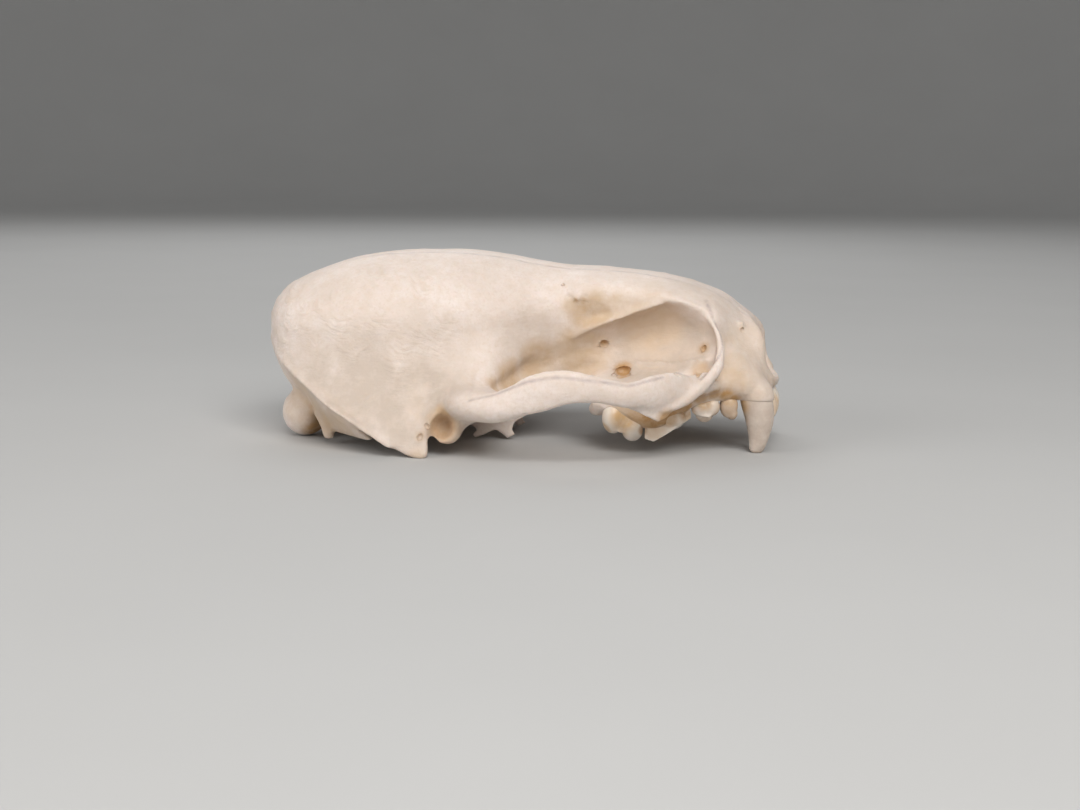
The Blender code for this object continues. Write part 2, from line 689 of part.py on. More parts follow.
def prism(name, outline, half_width, wider=0.0):
    """Prism across the skull from an outline of points seen from the side."""
    bm = bmesh.new()
    outline = widened(outline, wider) if wider else outline
    near = [bm.verts.new(Vector((x, -half_width, z)) * MM) for x, z in outline]
    far = [bm.verts.new(Vector((x, half_width, z)) * MM) for x, z in outline]
    bm.faces.new(near)
    bm.faces.new(far[::-1])
    for i in range(len(outline)):
        j = (i + 1) % len(outline)
        bm.faces.new((near[j], near[i], far[i], far[j]))
    bmesh.ops.recalc_face_normals(bm, faces=bm.faces)
    mesh = bpy.data.meshes.new(name)
    bm.to_mesh(mesh)
    bm.free()
    return new_object(name, mesh)


def box(name, low, high, wider=0.0):
    """Box between two corners."""
    bm = bmesh.new()
    bmesh.ops.create_cube(bm, size=1.0)
    size = [(h - l + 2 * wider) * MM for l, h in zip(low, high)]
    centre = [(h + l) / 2 * MM for l, h in zip(low, high)]
    bmesh.ops.scale(bm, vec=size, verts=bm.verts)
    bmesh.ops.translate(bm, vec=centre, verts=bm.verts)
    mesh = bpy.data.meshes.new(name)
    bm.to_mesh(mesh)
    bm.free()
    return new_object(name, mesh)


def grown(piece, name, distance):
    """Copy of a closed piece, larger by a distance on every side."""
    bm = bmesh.new()
    bm.from_mesh(piece.data)
    bm.normal_update()
    moves = [(v, v.normal.copy()) for v in bm.verts]
    for v, normal in moves:
        v.co += normal * distance * MM
    mesh = bpy.data.meshes.new(name)
    bm.to_mesh(mesh)
    bm.free()
    return new_object(name, mesh)


def surface_material(name, colour, roughness):
    material = bpy.data.materials.new(name)
    material.use_nodes = True
    shader = material.node_tree.nodes["Principled BSDF"]
    shader.inputs["Base Color"].default_value = (*colour, 1)
    shader.inputs["Roughness"].default_value = roughness
    shader.inputs["Metallic"].default_value = 0.0
    return material


def finish(body, name, colour, roughness):
    body.name = name
    body.data.name = name
    body.data.materials.clear()
    body.data.materials.append(surface_material(name + "_surface", colour, roughness))
    body.data.shade_smooth()


def part_off(body, region, wider_region, name):
    """Take the part of a body inside a region off it, with the gap between the two."""
    piece = copy_of(body, name)
    boolean(piece, region, "INTERSECT")
    keep_largest(piece)
    boolean(body, wider_region, "DIFFERENCE")
    keep_largest(body)
    drop([region, wider_region])
    return piece


def plate(name, outline, near, far):
    """Thin upright wall of a given outline between two distances from the midline."""
    bm = bmesh.new()
    sides = []
    for y in (near, far):
        sides.append([bm.verts.new(Vector((x, y, z)) * MM) for x, z in outline])
        bm.faces.new(sides[-1])
    for i in range(len(outline)):
        j = (i + 1) % len(outline)
        bm.faces.new((sides[0][i], sides[0][j], sides[1][j], sides[1][i]))
    bmesh.ops.recalc_face_normals(bm, faces=bm.faces)
    mesh = bpy.data.meshes.new(name)
    bm.to_mesh(mesh)
    bm.free()
    return new_object(name, mesh)


def cranium():
    """The whole bone, with its arches, bullae and pterygoids, as one body."""
    # The grown-together bones of the braincase, forehead, muzzle and palate
    pieces = [loft("vault", BRAINCASE), loft("forehead", FRONTAL), loft("snout", MUZZLE)]
    pieces.append(shelf("tooth_shelf", TOOTH_SHELF))
    pieces.append(lump("occipital_base", *OCCIPITAL_BASE))
    pieces.append(lump("incisor_bone", *INCISOR_BONE))
    pieces += both_sides(lump("condyle", *CONDYLE))
    pieces += both_sides(wedge("outer_occiput", OUTER_OCCIPUT))
    pieces += both_sides(sweep("ear_tube", EAR_TUBE))
    pieces += both_sides(sweep("jaw_socket", JAW_SOCKET))
    pieces += both_sides(sweep("socket_lip", SOCKET_LIP))
    pieces += both_sides(lump("bulla", *BULLA))
    pieces += both_sides(sweep("tooth_ridge", TOOTH_RIDGE))
    pieces += both_sides(lump("ridge_end", *RIDGE_END))
    pieces += both_sides(sweep("canine_root", CANINE_ROOT))
    pieces += both_sides(sweep("nasal_rim", NASAL_RIM))
    body = fuse("cranium", pieces, SOFT)

    # The orbits, the hollows beside them and the opening for the spinal cord
    hollows = both_sides(sweep("orbit", ORBIT, sides=24))
    hollows += both_sides(sweep("temple_hollow", TEMPLE_HOLLOW))
    hollows.append(lump("spinal_opening", *SPINAL_OPENING))
    carve(body, hollows)
    carve(body, both_sides(wedge("brow_hollow", BROW_HOLLOW)))

    # The nose, the vault of the palate, the airway, the nerve canals and the ear canals
    hollows = [lump("nasal_opening", *NASAL_OPENING), lump("palate_vault", *PALATE_VAULT)]
    hollows.append(lump("airway", *AIRWAY))
    hollows += both_sides(sweep("nerve_canal", NERVE_CANAL))
    hollows += both_sides(sweep("ear_canal", EAR_CANAL))
    carve(body, hollows)

    # The cheek arches pass outside the orbits, so they are added after the cuts
    added = both_sides(sweep("arch", ARCH, sides=16))
    added += both_sides(wedge("cheek_corner", CHEEK_CORNER))
    added += both_sides(sweep("upturn", UPTURN))
    added += both_sides(sweep("mastoid_crest", MASTOID_CREST))
    added += both_sides(wedge("mastoid_foot", MASTOID_FOOT))
    added += both_sides(stack("jugular", JUGULAR))
    body = fuse("cranium", [body] + added, FIRM)

    # The thin edges: orbit rims, canine sockets and pterygoid plates
    edges = both_sides(sweep("orbit_rim", ORBIT_RIM))
    edges += both_sides(stack("canine_socket", CANINE_SOCKET))
    edges += both_sides(plate("pterygoid_plate", PTERYGOID_OUTLINE, *PTERYGOID_SIDES))
    return fuse("cranium", [body] + edges, CRISP)


def crown(name, cusps, blocks):
    """A tooth fused from its round cusps and angular blocks."""
    forms = [lump(name, centre, radii) for centre, radii in cusps]
    forms += [wedge(name, block) for block in blocks]
    tooth = fuse(name, forms, TOOTH_SMOOTHING, TOOTH_VOXEL)
    thin_out(tooth, TOOTH_TRIANGLES[name])
    return tooth


def incisor(name, number):
    """Small upright crown with a slanting root."""
    x, y = INCISORS[number - 1]
    wide = INCISOR_WIDTH + INCISOR_GROWTH * number
    return stack(name, [
        (16.2, x - 1.9, y, 0.6, 0.5),
        (14.6, x - 1.0, y, 1.2, wide * 0.75),
        (11.8, x + 0.2, y, 1.4, wide),
        (9.4, x + 0.4, y, 1.0, wide * 0.95),
        (8.6, x + 0.3, y, 0.5, wide * 0.6),
    ], sides=10, steps=1)


def right_teeth():
    """Right-hand teeth by name, each with its root."""
    made = {"canine": stack("canine", CANINE, steps=1)}
    for name, (cusps, blocks) in CHEEK_TEETH.items():
        made[name] = crown(name, cusps, blocks)
    for number in range(1, len(INCISORS) + 1):
        name = "incisor_%d" % number
        made[name] = incisor(name, number)
    return made


def centre_on_floor(pieces):
    """Move the whole skull so that the middle of its box stands at the origin."""
    corners = [v.co for piece in pieces for v in piece.data.vertices]
    low = [min(c[k] for c in corners) for k in range(3)]
    high = [max(c[k] for c in corners) for k in range(3)]
    shift = Vector((-(low[0] + high[0]) / 2, -(low[1] + high[1]) / 2, -low[2]))
    for piece in pieces:
        piece.data.transform(Matrix.Translation(shift))


def part_sides(body):
    """The arches, pterygoids and bullae of both sides, taken off the whole bone."""
    nodes = {}
    for side, sign in (("right", -1), ("left", 1)):
        for name, (low, high) in SIDE_BOXES.items():
            near, far = sorted((sign * low[1], sign * high[1]))
            low, high = (low[0], near, low[2]), (high[0], far, high[2])
            regions = [box("region", low, high, wider) for wider in (0.0, GAP)]
            nodes["%s_%s" % (name, side)] = part_off(body, *regions, name)
        (x, y, z), radii = BULLA
        regions = []
        for wider in (BULLA_MARGIN, BULLA_MARGIN + GAP):
            regions.append(lump("region", (x, -sign * y, z), [r + wider for r in radii], fineness=2))
        nodes["auditory_bulla_%s" % side] = part_off(body, *regions, "bulla")
    return nodes


def fit_teeth(holders):
    """Set both sides' teeth in sockets cut a gap wider than their roots."""
    for name, tooth in right_teeth().items():
        for side, piece in (("right", tooth), ("left", other_side(tooth, "tooth"))):
            socket = grown(piece, "socket", GAP)
            for holder in holders:
                boolean(holder, socket, "DIFFERENCE")
                keep_largest(holder)
            drop([socket])
            finish(piece, "%s_%s" % (name, side), ENAMEL_COLOUR, ENAMEL_ROUGHNESS)


def main():
    for old in list(bpy.data.objects):
        bpy.data.objects.remove(old)
    body = cranium()
    thin_out(body, BONE_TRIANGLES)
    nodes = part_sides(body)
    for name, outline in CUTS.items():
        regions = [prism("region", outline, CUT_REACH, wider) for wider in (0.0, GAP)]
        nodes[name] = part_off(body, *regions, name)
    nodes["braincase"] = body
    for name, piece in nodes.items():
        finish(piece, name, BONE_COLOUR, BONE_ROUGHNESS)
    fit_teeth([nodes["upper_jaw"], nodes["muzzle"]])
    centre_on_floor(bpy.data.objects)


main()
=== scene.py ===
"""The cranium of an adult sea otter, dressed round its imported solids.

Tables are in millimetres and meshes in metres. +X is the nose, +Y the animal's left side, +Z up.
A bar's row gives its centre, half height and half thickness. Rows of three are corner points.
"""
from math import copysign, cos, pi, radians, sin

import bmesh
import bpy
import numpy as np
from mathutils import Euler, Matrix, Quaternion, Vector, noise
from mathutils.bvhtree import BVHTree


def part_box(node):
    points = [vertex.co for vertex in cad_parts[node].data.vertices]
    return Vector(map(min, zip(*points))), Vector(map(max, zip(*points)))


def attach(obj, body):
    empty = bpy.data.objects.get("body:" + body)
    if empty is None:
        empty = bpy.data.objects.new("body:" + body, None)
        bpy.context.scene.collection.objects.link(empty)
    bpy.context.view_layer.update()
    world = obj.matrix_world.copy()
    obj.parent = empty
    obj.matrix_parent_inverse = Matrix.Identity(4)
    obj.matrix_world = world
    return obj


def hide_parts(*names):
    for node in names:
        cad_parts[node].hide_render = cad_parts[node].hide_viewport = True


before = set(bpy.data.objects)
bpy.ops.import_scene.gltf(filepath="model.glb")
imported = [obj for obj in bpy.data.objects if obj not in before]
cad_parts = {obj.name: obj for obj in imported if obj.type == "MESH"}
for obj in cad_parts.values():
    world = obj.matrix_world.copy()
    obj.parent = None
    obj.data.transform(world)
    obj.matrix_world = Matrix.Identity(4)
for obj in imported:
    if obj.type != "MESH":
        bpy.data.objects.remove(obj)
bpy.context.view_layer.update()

# The braincase: a shell of thin bones that have grown together, broad and low.
# Its lower edges flare out into the crests above the ears, where neck and jaw muscles held.
# Each row: distance along the skull, roof height, half width and its height,
# edge of the flare and its height, half width and height of the base.
MM = 0.001
BRAINCASE = [
    (-66.8, 33, 6, 30.5, 5.5, 28, 4, 27), (-65.6, 36.2, 14, 29.5, 13, 23.5, 9, 22),
    (-61.5, 40.4, 21, 28.5, 21.5, 21, 14, 14.5), (-55, 43.4, 26, 27.5, 28.6, 17.8, 17, 10.5),
    (-47, 46.3, 29.4, 27, 34.4, 13, 18, 9.5), (-38, 48.1, 31, 27.5, 38.4, 8, 20, 9),
    (-33, 48.6, 31.1, 28, 40, 5.8, 21, 9), (-28.5, 48.9, 31, 28.5, 41.2, 3.6, 22, 9),
    (-21.5, 49, 30.3, 29, 40.6, 2.2, 22, 9), (-18.6, 49, 29.6, 29.2, 39.8, 7.6, 22, 9.4),
    (-13, 48.8, 28, 29.5, 39.6, 13.6, 22, 9.5), (-6, 48.1, 25, 30.5, 38, 14.4, 20, 10),
    (0, 47.1, 21.8, 31.5, 26, 15.4, 16, 11.5), (6, 46.2, 18.6, 33, 17, 17, 12, 13),
    (13, 45.4, 16.4, 35.5, 13.5, 19, 10, 14.5),
]


def monotone(xs, values, x):
    """Smooth values at x that never overshoot between two stations."""
    xs, values = np.asarray(xs, float), np.asarray(values, float)
    steps = np.diff(xs)
    slopes = np.diff(values, axis=0) / steps[:, None]
    a, b = slopes[:-1], slopes[1:]
    inner = np.where(a * b > 0, 2 * a * b / (a + b + 1e-12), 0)
    tangents = np.vstack([slopes[:1], inner, slopes[-1:]])
    index = np.clip(np.searchsorted(xs, x) - 1, 0, len(steps) - 1)
    t = ((x - xs[index]) / steps[index])[:, None]
    h = steps[index][:, None]
    return (
        (2 * t**3 - 3 * t**2 + 1) * values[index]
        + (t**3 - 2 * t**2 + t) * h * tangents[index]
        + (3 * t**2 - 2 * t**3) * values[index + 1]
        + (t**3 - t**2) * h * tangents[index + 1]
    )


def new_object(name, mesh):
    made = bpy.data.objects.new(name, mesh)
    bpy.context.scene.collection.objects.link(made)
    return made


def new_piece(bm, outward=True):
    """A finished bmesh as an object."""
    if outward:
        bmesh.ops.recalc_face_normals(bm, faces=bm.faces)
    mesh = bpy.data.meshes.new("form")
    bm.to_mesh(mesh)
    bm.free()
    return new_object("form", mesh)


def tube_of_rings(rings):
    """Closed body through rings of points."""
    bm = bmesh.new()
    loops = [[bm.verts.new(Vector(p) * MM) for p in ring] for ring in rings]
    count = len(loops[0])
    for near, far in zip(loops, loops[1:]):
        for i in range(count):
            j = (i + 1) % count
            bm.faces.new((near[i], near[j], far[j], far[i]))
    for loop in (loops[0], loops[-1]):
        centre = sum((v.co for v in loop), Vector()) / count
        hub = bm.verts.new(centre)
        for i in range(count):
            bm.faces.new((loop[i], loop[(i + 1) % count], hub))
    return new_piece(bm)


def skull_section(roof, half_width, wide_at, flare, flare_at, base, base_at, fullness=2.25):
    """Right half of a cross-section, from roof to base."""
    points = []
    for angle in np.linspace(0, pi / 2, 18):
        across = sin(angle) ** (2 / fullness)
        up = max(cos(angle), 0.0) ** (2 / fullness)
        points.append((half_width * across, wide_at + (roof - wide_at) * up))
    for t in np.linspace(0, 1, 12)[1:]:
        points.append((half_width + (flare - half_width) * t**1.6, wide_at + (flare_at - wide_at) * t))
    for t in np.linspace(0, 1, 7)[1:]:
        points.append((flare + (base - flare) * t, flare_at + (base_at - flare_at) * t))
    for t in np.linspace(0, 1, 6)[1:]:
        points.append((base * (1 - t), base_at))
    return points


def along(stations, spacing=0.8):
    """Evenly spaced distances along the skull, each with its values."""
    xs = [row[0] for row in stations]
    x = np.linspace(xs[0], xs[-1], int((xs[-1] - xs[0]) / spacing) + 1)
    return zip(x, monotone(xs, [row[1:] for row in stations], x))


def loft(stations):
    """Body through cross-sections that are the same on both sides."""
    rings = []
    for place, row in along(stations):
        right = skull_section(*row)
        rings.append([(place, -y, z) for y, z in right] + [(place, y, z) for y, z in right[-2:0:-1]])
    return tube_of_rings(rings)


forms = [loft(BRAINCASE)]

# The forehead: the frontal bones between the eyes, narrow behind the brow knobs
# and broader over the orbits. The columns are those of the braincase.
FRONTAL = [
    (-4, 46, 17, 33, 16, 20, 12, 15), (4, 46.2, 16.4, 34, 15, 20, 12, 15),
    (11, 45.5, 16.4, 36, 13.6, 21, 11, 16), (17, 45.2, 18.4, 38.6, 13.6, 21, 12, 16),
    (23, 44.9, 18.4, 38.6, 14.2, 21, 13, 16.5), (30, 44.3, 18.8, 38.4, 15.4, 21, 14, 17),
    (38, 43, 20.4, 37.6, 18, 22, 16, 17), (45, 41.3, 20.6, 35.6, 22, 22, 18, 17),
    (50, 39.5, 18.6, 33.6, 21, 22, 18, 17),
]
forms.append(loft(FRONTAL))

# The muzzle: short and blunt, of the nasal bones on top and the jaw bones at the sides.
# The canines' long roots swell its sides. The columns are those of the braincase.
MUZZLE = [
    (40, 42.4, 22.5, 34.5, 35.5, 18.5, 24, 14.5), (46, 41, 22.5, 33, 32.5, 18.5, 23, 14),
    (50.5, 39.4, 20.5, 31.5, 28.5, 18, 22, 13.6), (54, 37.4, 16, 29.5, 22.5, 17, 21, 13.2),
    (57.5, 34, 13.5, 27, 21.8, 16, 20, 13.2), (60.2, 30.8, 12.5, 25, 20.8, 16, 18, 13.4),
    (62.2, 25.5, 11.6, 22, 17.5, 16, 14, 14), (64.4, 19, 8.5, 17.5, 11.5, 16, 9, 14.5),
]
NASAL_RIM = [
    (54.8, -2.4, 33.8, 2.4, 2.8), (57.4, -6.8, 31.4, 2.6, 2.8), (60, -10.4, 28.4, 2.7, 2.8),
    (60.8, -12, 24.8, 2.7, 2.8), (60.8, -12.2, 21, 2.7, 2.8), (63.8, -9.6, 17.2, 2.5, 2.5),
]
CANINE_ROOT = [(60.4, -17.2, 15, 4.6, 4.4), (57.6, -17, 20, 4.2, 4.2), (54, -15.6, 26, 3, 3)]


def between(stations, steps):
    """The stations, with smooth steps between them."""
    last = len(stations) - 1
    return monotone(np.arange(last + 1), stations, np.linspace(0, last, last * steps + 1))


def circle(sides):
    """Cosine and sine of evenly spaced turns."""
    return [(cos(a), sin(a)) for a in (2 * pi * k / sides for k in range(sides))]


def sweep(stations, sides):
    """Oval bar along a smooth path: centre, half height, half thickness."""
    rows = between(stations, 7)
    path = rows[:, :3]
    ahead = np.gradient(path, axis=0)
    rings = []
    for centre, way, (tall, thick) in zip(path, ahead, rows[:, 3:5]):
        way = Vector(way).normalized()
        side = way.cross(Vector((0, 0, 1)))
        side = Vector((0, 1, 0)) if side.length < 0.2 else side.normalized()
        up = side.cross(way).normalized()
        rings.append([Vector(centre) + up * tall * c + side * thick * s for c, s in circle(sides)])
    return tube_of_rings(rings)


def lump(centre, radii, turn=(0, 0, 0)):
    """Ellipsoid with its turn in degrees."""
    bm = bmesh.new()
    bmesh.ops.create_icosphere(bm, subdivisions=4, radius=1.0)
    made = new_piece(bm, outward=False)
    spin = Euler([radians(a) for a in turn]).to_matrix().to_4x4()
    size = Matrix.Diagonal((*[r * MM for r in radii], 1))
    made.data.transform(Matrix.Translation(Vector(centre) * MM) @ spin @ size)
    return made


def pair(piece):
    """A piece and its mirror image."""
    mesh = piece.data.copy()
    mesh.transform(Matrix.Diagonal((1, -1, 1, 1)))
    mesh.flip_normals()
    return [piece, new_object("form", mesh)]


def bars(*paths, sides=20):
    """A bar along each path, on both sides."""
    return [bar for path in paths for bar in pair(sweep(path, sides))]


forms.append(loft(MUZZLE))
forms += bars(CANINE_ROOT, NASAL_RIM)
forms.append(lump((62.6, 0, 16.8), (4.3, 11, 3)))  # bone of the incisors

# The palate and the bone that holds the cheek teeth: a flat shelf under the snout,
# with a ridge round the roots of each tooth row that ends in a rounded tip behind the molars.
TOOTH_SHELF = [
    (1, 17.5, 10.5, 14), (10, 18.5, 12.5, 13), (19, 19.5, 18, 12.6), (25, 20.5, 26, 12), (34, 21, 27.4, 11.4),
    (42, 22, 26, 12.4), (50, 22, 22.8, 13), (58, 22, 22.6, 13), (62.4, 20, 17.5, 13.4),
    (65.2, 17.8, 10, 14.2),
]
TOOTH_RIDGE = [
    (21, -19, 12.6, 3, 4.4), (26, -22.2, 12.2, 3.2, 4), (31, -23, 10.6, 3.9, 3.5), (35, -23.6, 9.8, 4, 3.3),
    (38.5, -23.6, 11, 3.7, 3.2), (42, -22.8, 13, 3.2, 3.1), (47, -21.6, 15, 2.5, 2.9),
    (54, -19.8, 15.4, 2.2, 2.6),
]


def shelf(stations):
    """Flat body with rounded sides: distance, top, half width, bottom."""
    rings = []
    for place, (top, half, bottom) in along(stations):
        ring = []
        for angle in np.linspace(0, 2 * pi, 44, endpoint=False):
            c, s = cos(angle), sin(angle)
            y = half * copysign(abs(c) ** 0.45, c)
            z = (top + bottom) / 2 + (top - bottom) / 2 * copysign(abs(s) ** 0.45, s)
            ring.append((place, y, z))
        rings.append(ring)
    return tube_of_rings(rings)


forms.append(shelf(TOOTH_SHELF))
forms += bars(TOOTH_RIDGE)
forms += pair(lump((21, -17.6, 10.2), (3.1, 5, 2.3), (0, -8, 8)))  # tips of the ridges

# The back of the skull: two round condyles that carried it on the neck, and the small
# jugular processes beside them, which end the bone that slopes in from the mastoid crests.
OUTER_OCCIPUT = [
    (-60, -16.5, 19.5), (-54, -27, 16), (-47, -33.2, 11.4), (-38, -37.6, 6.6), (-31, -39.6, 2.6),
    (-57, -14, 13), (-52.6, -19, 7), (-48.4, -22.6, 2.6), (-46, -24, 2.6), (-40, -30, 3.4), (-33, -36, 3.2),
    (-45, -15, 11), (-35, -20, 10), (-54, -10, 15),
]


def stack(stations, sides=20):
    """Upright body through level ovals: height, centre, half length, half width."""
    rings = []
    for z, x, y, long, wide in between(stations, 5):
        rings.append([(x + long * c, y + wide * s, z) for c, s in circle(sides)])
    return tube_of_rings(rings)


def wedge(points):
    """The smallest convex body round some points."""
    bm = bmesh.new()
    for point in points:
        bm.verts.new(Vector(point) * MM)
    made = bmesh.ops.convex_hull(bm, input=bm.verts)
    inside = [v for v in made["geom_interior"] if isinstance(v, bmesh.types.BMVert)]
    bmesh.ops.delete(bm, geom=inside, context="VERTS")
    return new_piece(bm)


forms += pair(lump((-57, -11.5, 6.5), (6.5, 7.8, 6.7), (0, 20, 22)))  # condyles
forms.append(lump((-50, 0, 11.5), (11, 19, 6.5)))  # base between them
forms += pair(wedge(OUTER_OCCIPUT))

# The ears and jaw sockets: a blown-up bulla under each ear with a short bony tube out
# to the side, and in front of it the cross-wise socket and lip that held the lower jaw.
EAR_TUBE = [(-16.4, -24, 9.4, 4.8, 4.8), (-15.2, -31, 8.2, 4.8, 4.5), (-14.3, -38.2, 7.4, 5, 4.4)]
JAW_SOCKET = [(-6.5, -20, 13, 4, 5.4), (-5.6, -32, 13.4, 4, 5.6), (-3.5, -42, 14, 3.6, 5)]
SOCKET_LIP = [(-10.4, -24, 10.4, 2.4, 2), (-9.6, -33, 10, 2.6, 2), (-7.6, -40, 10.6, 2.2, 2)]
forms += bars(EAR_TUBE, JAW_SOCKET, SOCKET_LIP)
forms += pair(lump((-17.5, -20.5, 9.8), (11, 9.6, 5.6)))  # bullae

# All these bones have grown into one. The first skin is laid over them here, and the
# joints between the forms are softened as bone does when it closes its seams.


def drop(pieces):
    for piece in pieces:
        bpy.data.objects.remove(piece)


def settle(piece):
    """Turn a piece's modifiers into mesh."""
    bpy.context.view_layer.update()
    graph = bpy.context.evaluated_depsgraph_get()
    mesh = bpy.data.meshes.new_from_object(piece.evaluated_get(graph))
    piece.modifiers.clear()
    piece.data = mesh


def fuse(pieces, smoothing, voxel=0.5):
    """One closed skin over overlapping pieces, with softened joints."""
    bm = bmesh.new()
    for piece in pieces:
        bm.from_mesh(piece.data)
    drop(pieces)
    body = new_piece(bm, outward=False)
    skin = body.modifiers.new("skin", "REMESH")
    skin.mode = "VOXEL"
    skin.voxel_size = voxel * MM
    soften = body.modifiers.new("soften", "SMOOTH")
    soften.factor = 0.5
    soften.iterations = smoothing
    settle(body)
    return body


def carve(body, cutters, voxel=0.5):
    """Hollow a body with cutters that are fused first."""
    tool = fuse(cutters, 1, voxel)
    cut = body.modifiers.new("cut", "BOOLEAN")
    cut.operation = "DIFFERENCE"
    cut.solver = "MANIFOLD"
    cut.object = tool
    settle(body)
    drop([tool])


bone = fuse(forms, smoothing=45)

# The orbits: one wide hollow on each side for the eye and the jaw muscle behind it,
# with a sharp upper edge, and a shallow dent above it under the brow knob. The spine's
# opening is cut with them.
ORBIT = [
    (52.4, -30, 27.8, 1.5, 2.5), (50.8, -30, 27.8, 5.8, 8), (47, -30, 28.8, 8.6, 12.6),
    (42.5, -30, 29.6, 9.6, 16.2), (38, -30, 29.4, 11, 17), (34, -30, 28.9, 10.1, 17.6),
    (24, -29.4, 26, 8.8, 16.8), (14, -27.6, 22.2, 7.2, 13.4), (5, -25, 18.6, 3, 6),
]
TEMPLE_HOLLOW = [
    (-3, -33.6, 16.8, 1.4, 1.6), (0, -29.2, 17.4, 2, 3.6), (4, -24.8, 18.8, 3, 5.6), (8, -22, 20.8, 4.8, 7.2),
    (12, -21.6, 22.8, 6.5, 7.8), (17, -22.8, 23.8, 6.8, 8.8), (22, -25, 24.6, 6, 9.6),
]
BROW_HOLLOW = [
    (15.6, -17, 37), (27, -17.6, 37), (17, -15.6, 32.4), (22.4, -16.2, 33.9), (12, -21, 38.6),
    (31.6, -21, 37.8), (15.4, -21, 29.8), (27.4, -21, 33.4), (12, -21, 33.6),
]
hollows = bars(ORBIT, TEMPLE_HOLLOW, sides=32)
hollows.append(lump((-60, 0, 12), (13, 10.5, 6.8)))
carve(bone, hollows)
carve(bone, pair(wedge(BROW_HOLLOW)))

# Openings: the nose, the vault of the palate, the airway behind it, the canal under each
# orbit for the face's nerves, and the ear canals.
hollows = [
    lump((64, 0, 24.2), (12, 9.8, 6.8), (0, -18, 0)),  # opening of the nose
    lump((54, 0, 25), (12, 8.6, 6.8)),  # its cavity
    lump((34, 0, 11), (30, 14.5, 5.6)),  # vault of the palate
    lump((-6, 0, 8.5), (14, 7.4, 6)),  # airway
]
NERVE_CANAL = [(38, -25.5, 23, 3, 2.2), (47, -24.6, 22.6, 3.2, 2.2), (62, -24, 22, 3.4, 2.6)]
hollows += bars(NERVE_CANAL)
hollows += pair(lump((-15.4, -42, 7.7), (3.1, 8.6, 4.3), (0, 24, 0)))  # ear canals
carve(bone, hollows)

# The cheek arches: flat bars that spring from in front of the ear, bow outwards past the
# orbit and join the upper jaw below it. The jaw muscles passed inside them.
ARCH = [
    (49, -26, 19.4, 2.6, 2.2), (44.6, -31, 18, 3.4, 2.4), (40.4, -35.4, 17.9, 4.6, 2.5),
    (36.5, -39.2, 17.8, 4.7, 2.4), (31, -43.5, 17.6, 3.4, 2.1), (24.5, -46.6, 19, 3.5, 1.9),
    (17.5, -48.4, 19.8, 4.4, 1.8), (10, -48.4, 18.4, 5, 2), (3.5, -47, 15.6, 4.2, 2.6),
    (-3, -43.6, 13.6, 4, 4.4), (-9, -37.5, 13.4, 4.4, 6.2), (-13.6, -31.6, 13.6, 3.4, 4.6),
]
CHEEK_CORNER = [
    (27, -44.4, 16), (31, -43, 13.8), (35.4, -40.4, 11.2), (37.8, -38.6, 9.8), (39.8, -37.2, 10.8),
    (43, -35.2, 15), (46, -33.6, 18.4), (44, -34, 20.6), (30, -41, 14.4), (36.4, -37, 10.8),
    (39.4, -34.4, 12), (36, -39.6, 19.4), (41, -36, 20.2),
]
UPTURN = [
    (34, -41, 19.6, 1.2, 1.3), (37.5, -38.6, 20.8, 1.5, 1.4), (41, -35.6, 21.4, 1.5, 1.4),
    (44, -33, 20.6, 1.1, 1.2),
]
edges = bars(ARCH, sides=26)
edges += pair(wedge(CHEEK_CORNER))
edges += bars(UPTURN)

# The crests: a long edge on each side from the back of the skull down to the mastoid
# process, which ends in a flat foot that the skull rests on, and the jugular tips.
MASTOID_CREST = [
    (-64.6, -14, 25.4, 1.1, 1.1), (-61.6, -20.2, 22.4, 1.1, 1.1), (-56, -27, 18.7, 1, 1),
    (-50, -32.2, 15.3, 1, 1), (-45.7, -35.2, 12.5, 1, 1), (-40.8, -37.6, 9.8, 1, 1),
    (-36.2, -39, 7.4, 1, 1.1), (-31.5, -40.4, 4.6, 1.1, 1.3), (-27.5, -40.8, 2.3, 1.4, 1.6),
]
MASTOID_FOOT = [
    (-31, -39, 4.4), (-28.6, -40.2, 2.9), (-26.8, -40.8, 1.5), (-24, -40.8, 0.2), (-20.4, -40.6, -0.4),
    (-18.6, -40, 0.3), (-18.4, -39, 3.6), (-19.2, -37.6, -0.2), (-24, -37.8, 0.2), (-30, -36, 3.4),
    (-19.4, -35, 8), (-20, -37.4, 7), (-28, -37.6, 8),
]
JUGULAR = [(8, -49.4, -21, 3.6, 2.6), (4, -48.4, -22.6, 1.9, 1.6), (1.1, -47.5, -23.6, 1.7, 1.2)]
edges += bars(MASTOID_CREST)
edges += pair(wedge(MASTOID_FOOT))
edges += pair(stack(JUGULAR))
bone = fuse([bone, *edges], smoothing=14)

# The rims of the orbits: a thin raised lip round the front of each, which runs down
# and back into the cheek arch.
ORBIT_RIM = [
    (47.6, -19.4, 34.6, 0.7, 0.7), (49.6, -20.4, 32.4, 0.9, 0.9), (51, -21.6, 29.8, 1.1, 1.1),
    (51.7, -23.8, 26.6, 1.3, 1.3), (51.4, -26.2, 23.4, 1.5, 1.4), (49.4, -29.6, 20.2, 1.7, 1.5),
    (45.6, -33.2, 17, 1.8, 1.6), (42, -35.6, 14.8, 1.6, 1.5), (38, -38, 13.4, 1.3, 1.3),
]
BROW_RIDGE = [
    (13, -16.2, 26.6, 0.4, 0.4), (15.8, -17.1, 28.9, 0.8, 0.8), (18.5, -17.8, 30.6, 0.9, 0.9),
    (22, -18.2, 32, 0.9, 0.9), (26.3, -18.4, 33.8, 0.9, 0.9), (31.5, -18.8, 35.8, 0.9, 0.9),
    (35.6, -19.2, 37.2, 0.8, 0.8), (37.8, -19, 37.6, 0.4, 0.4),
]
rims = bars(ORBIT_RIM, BROW_RIDGE)
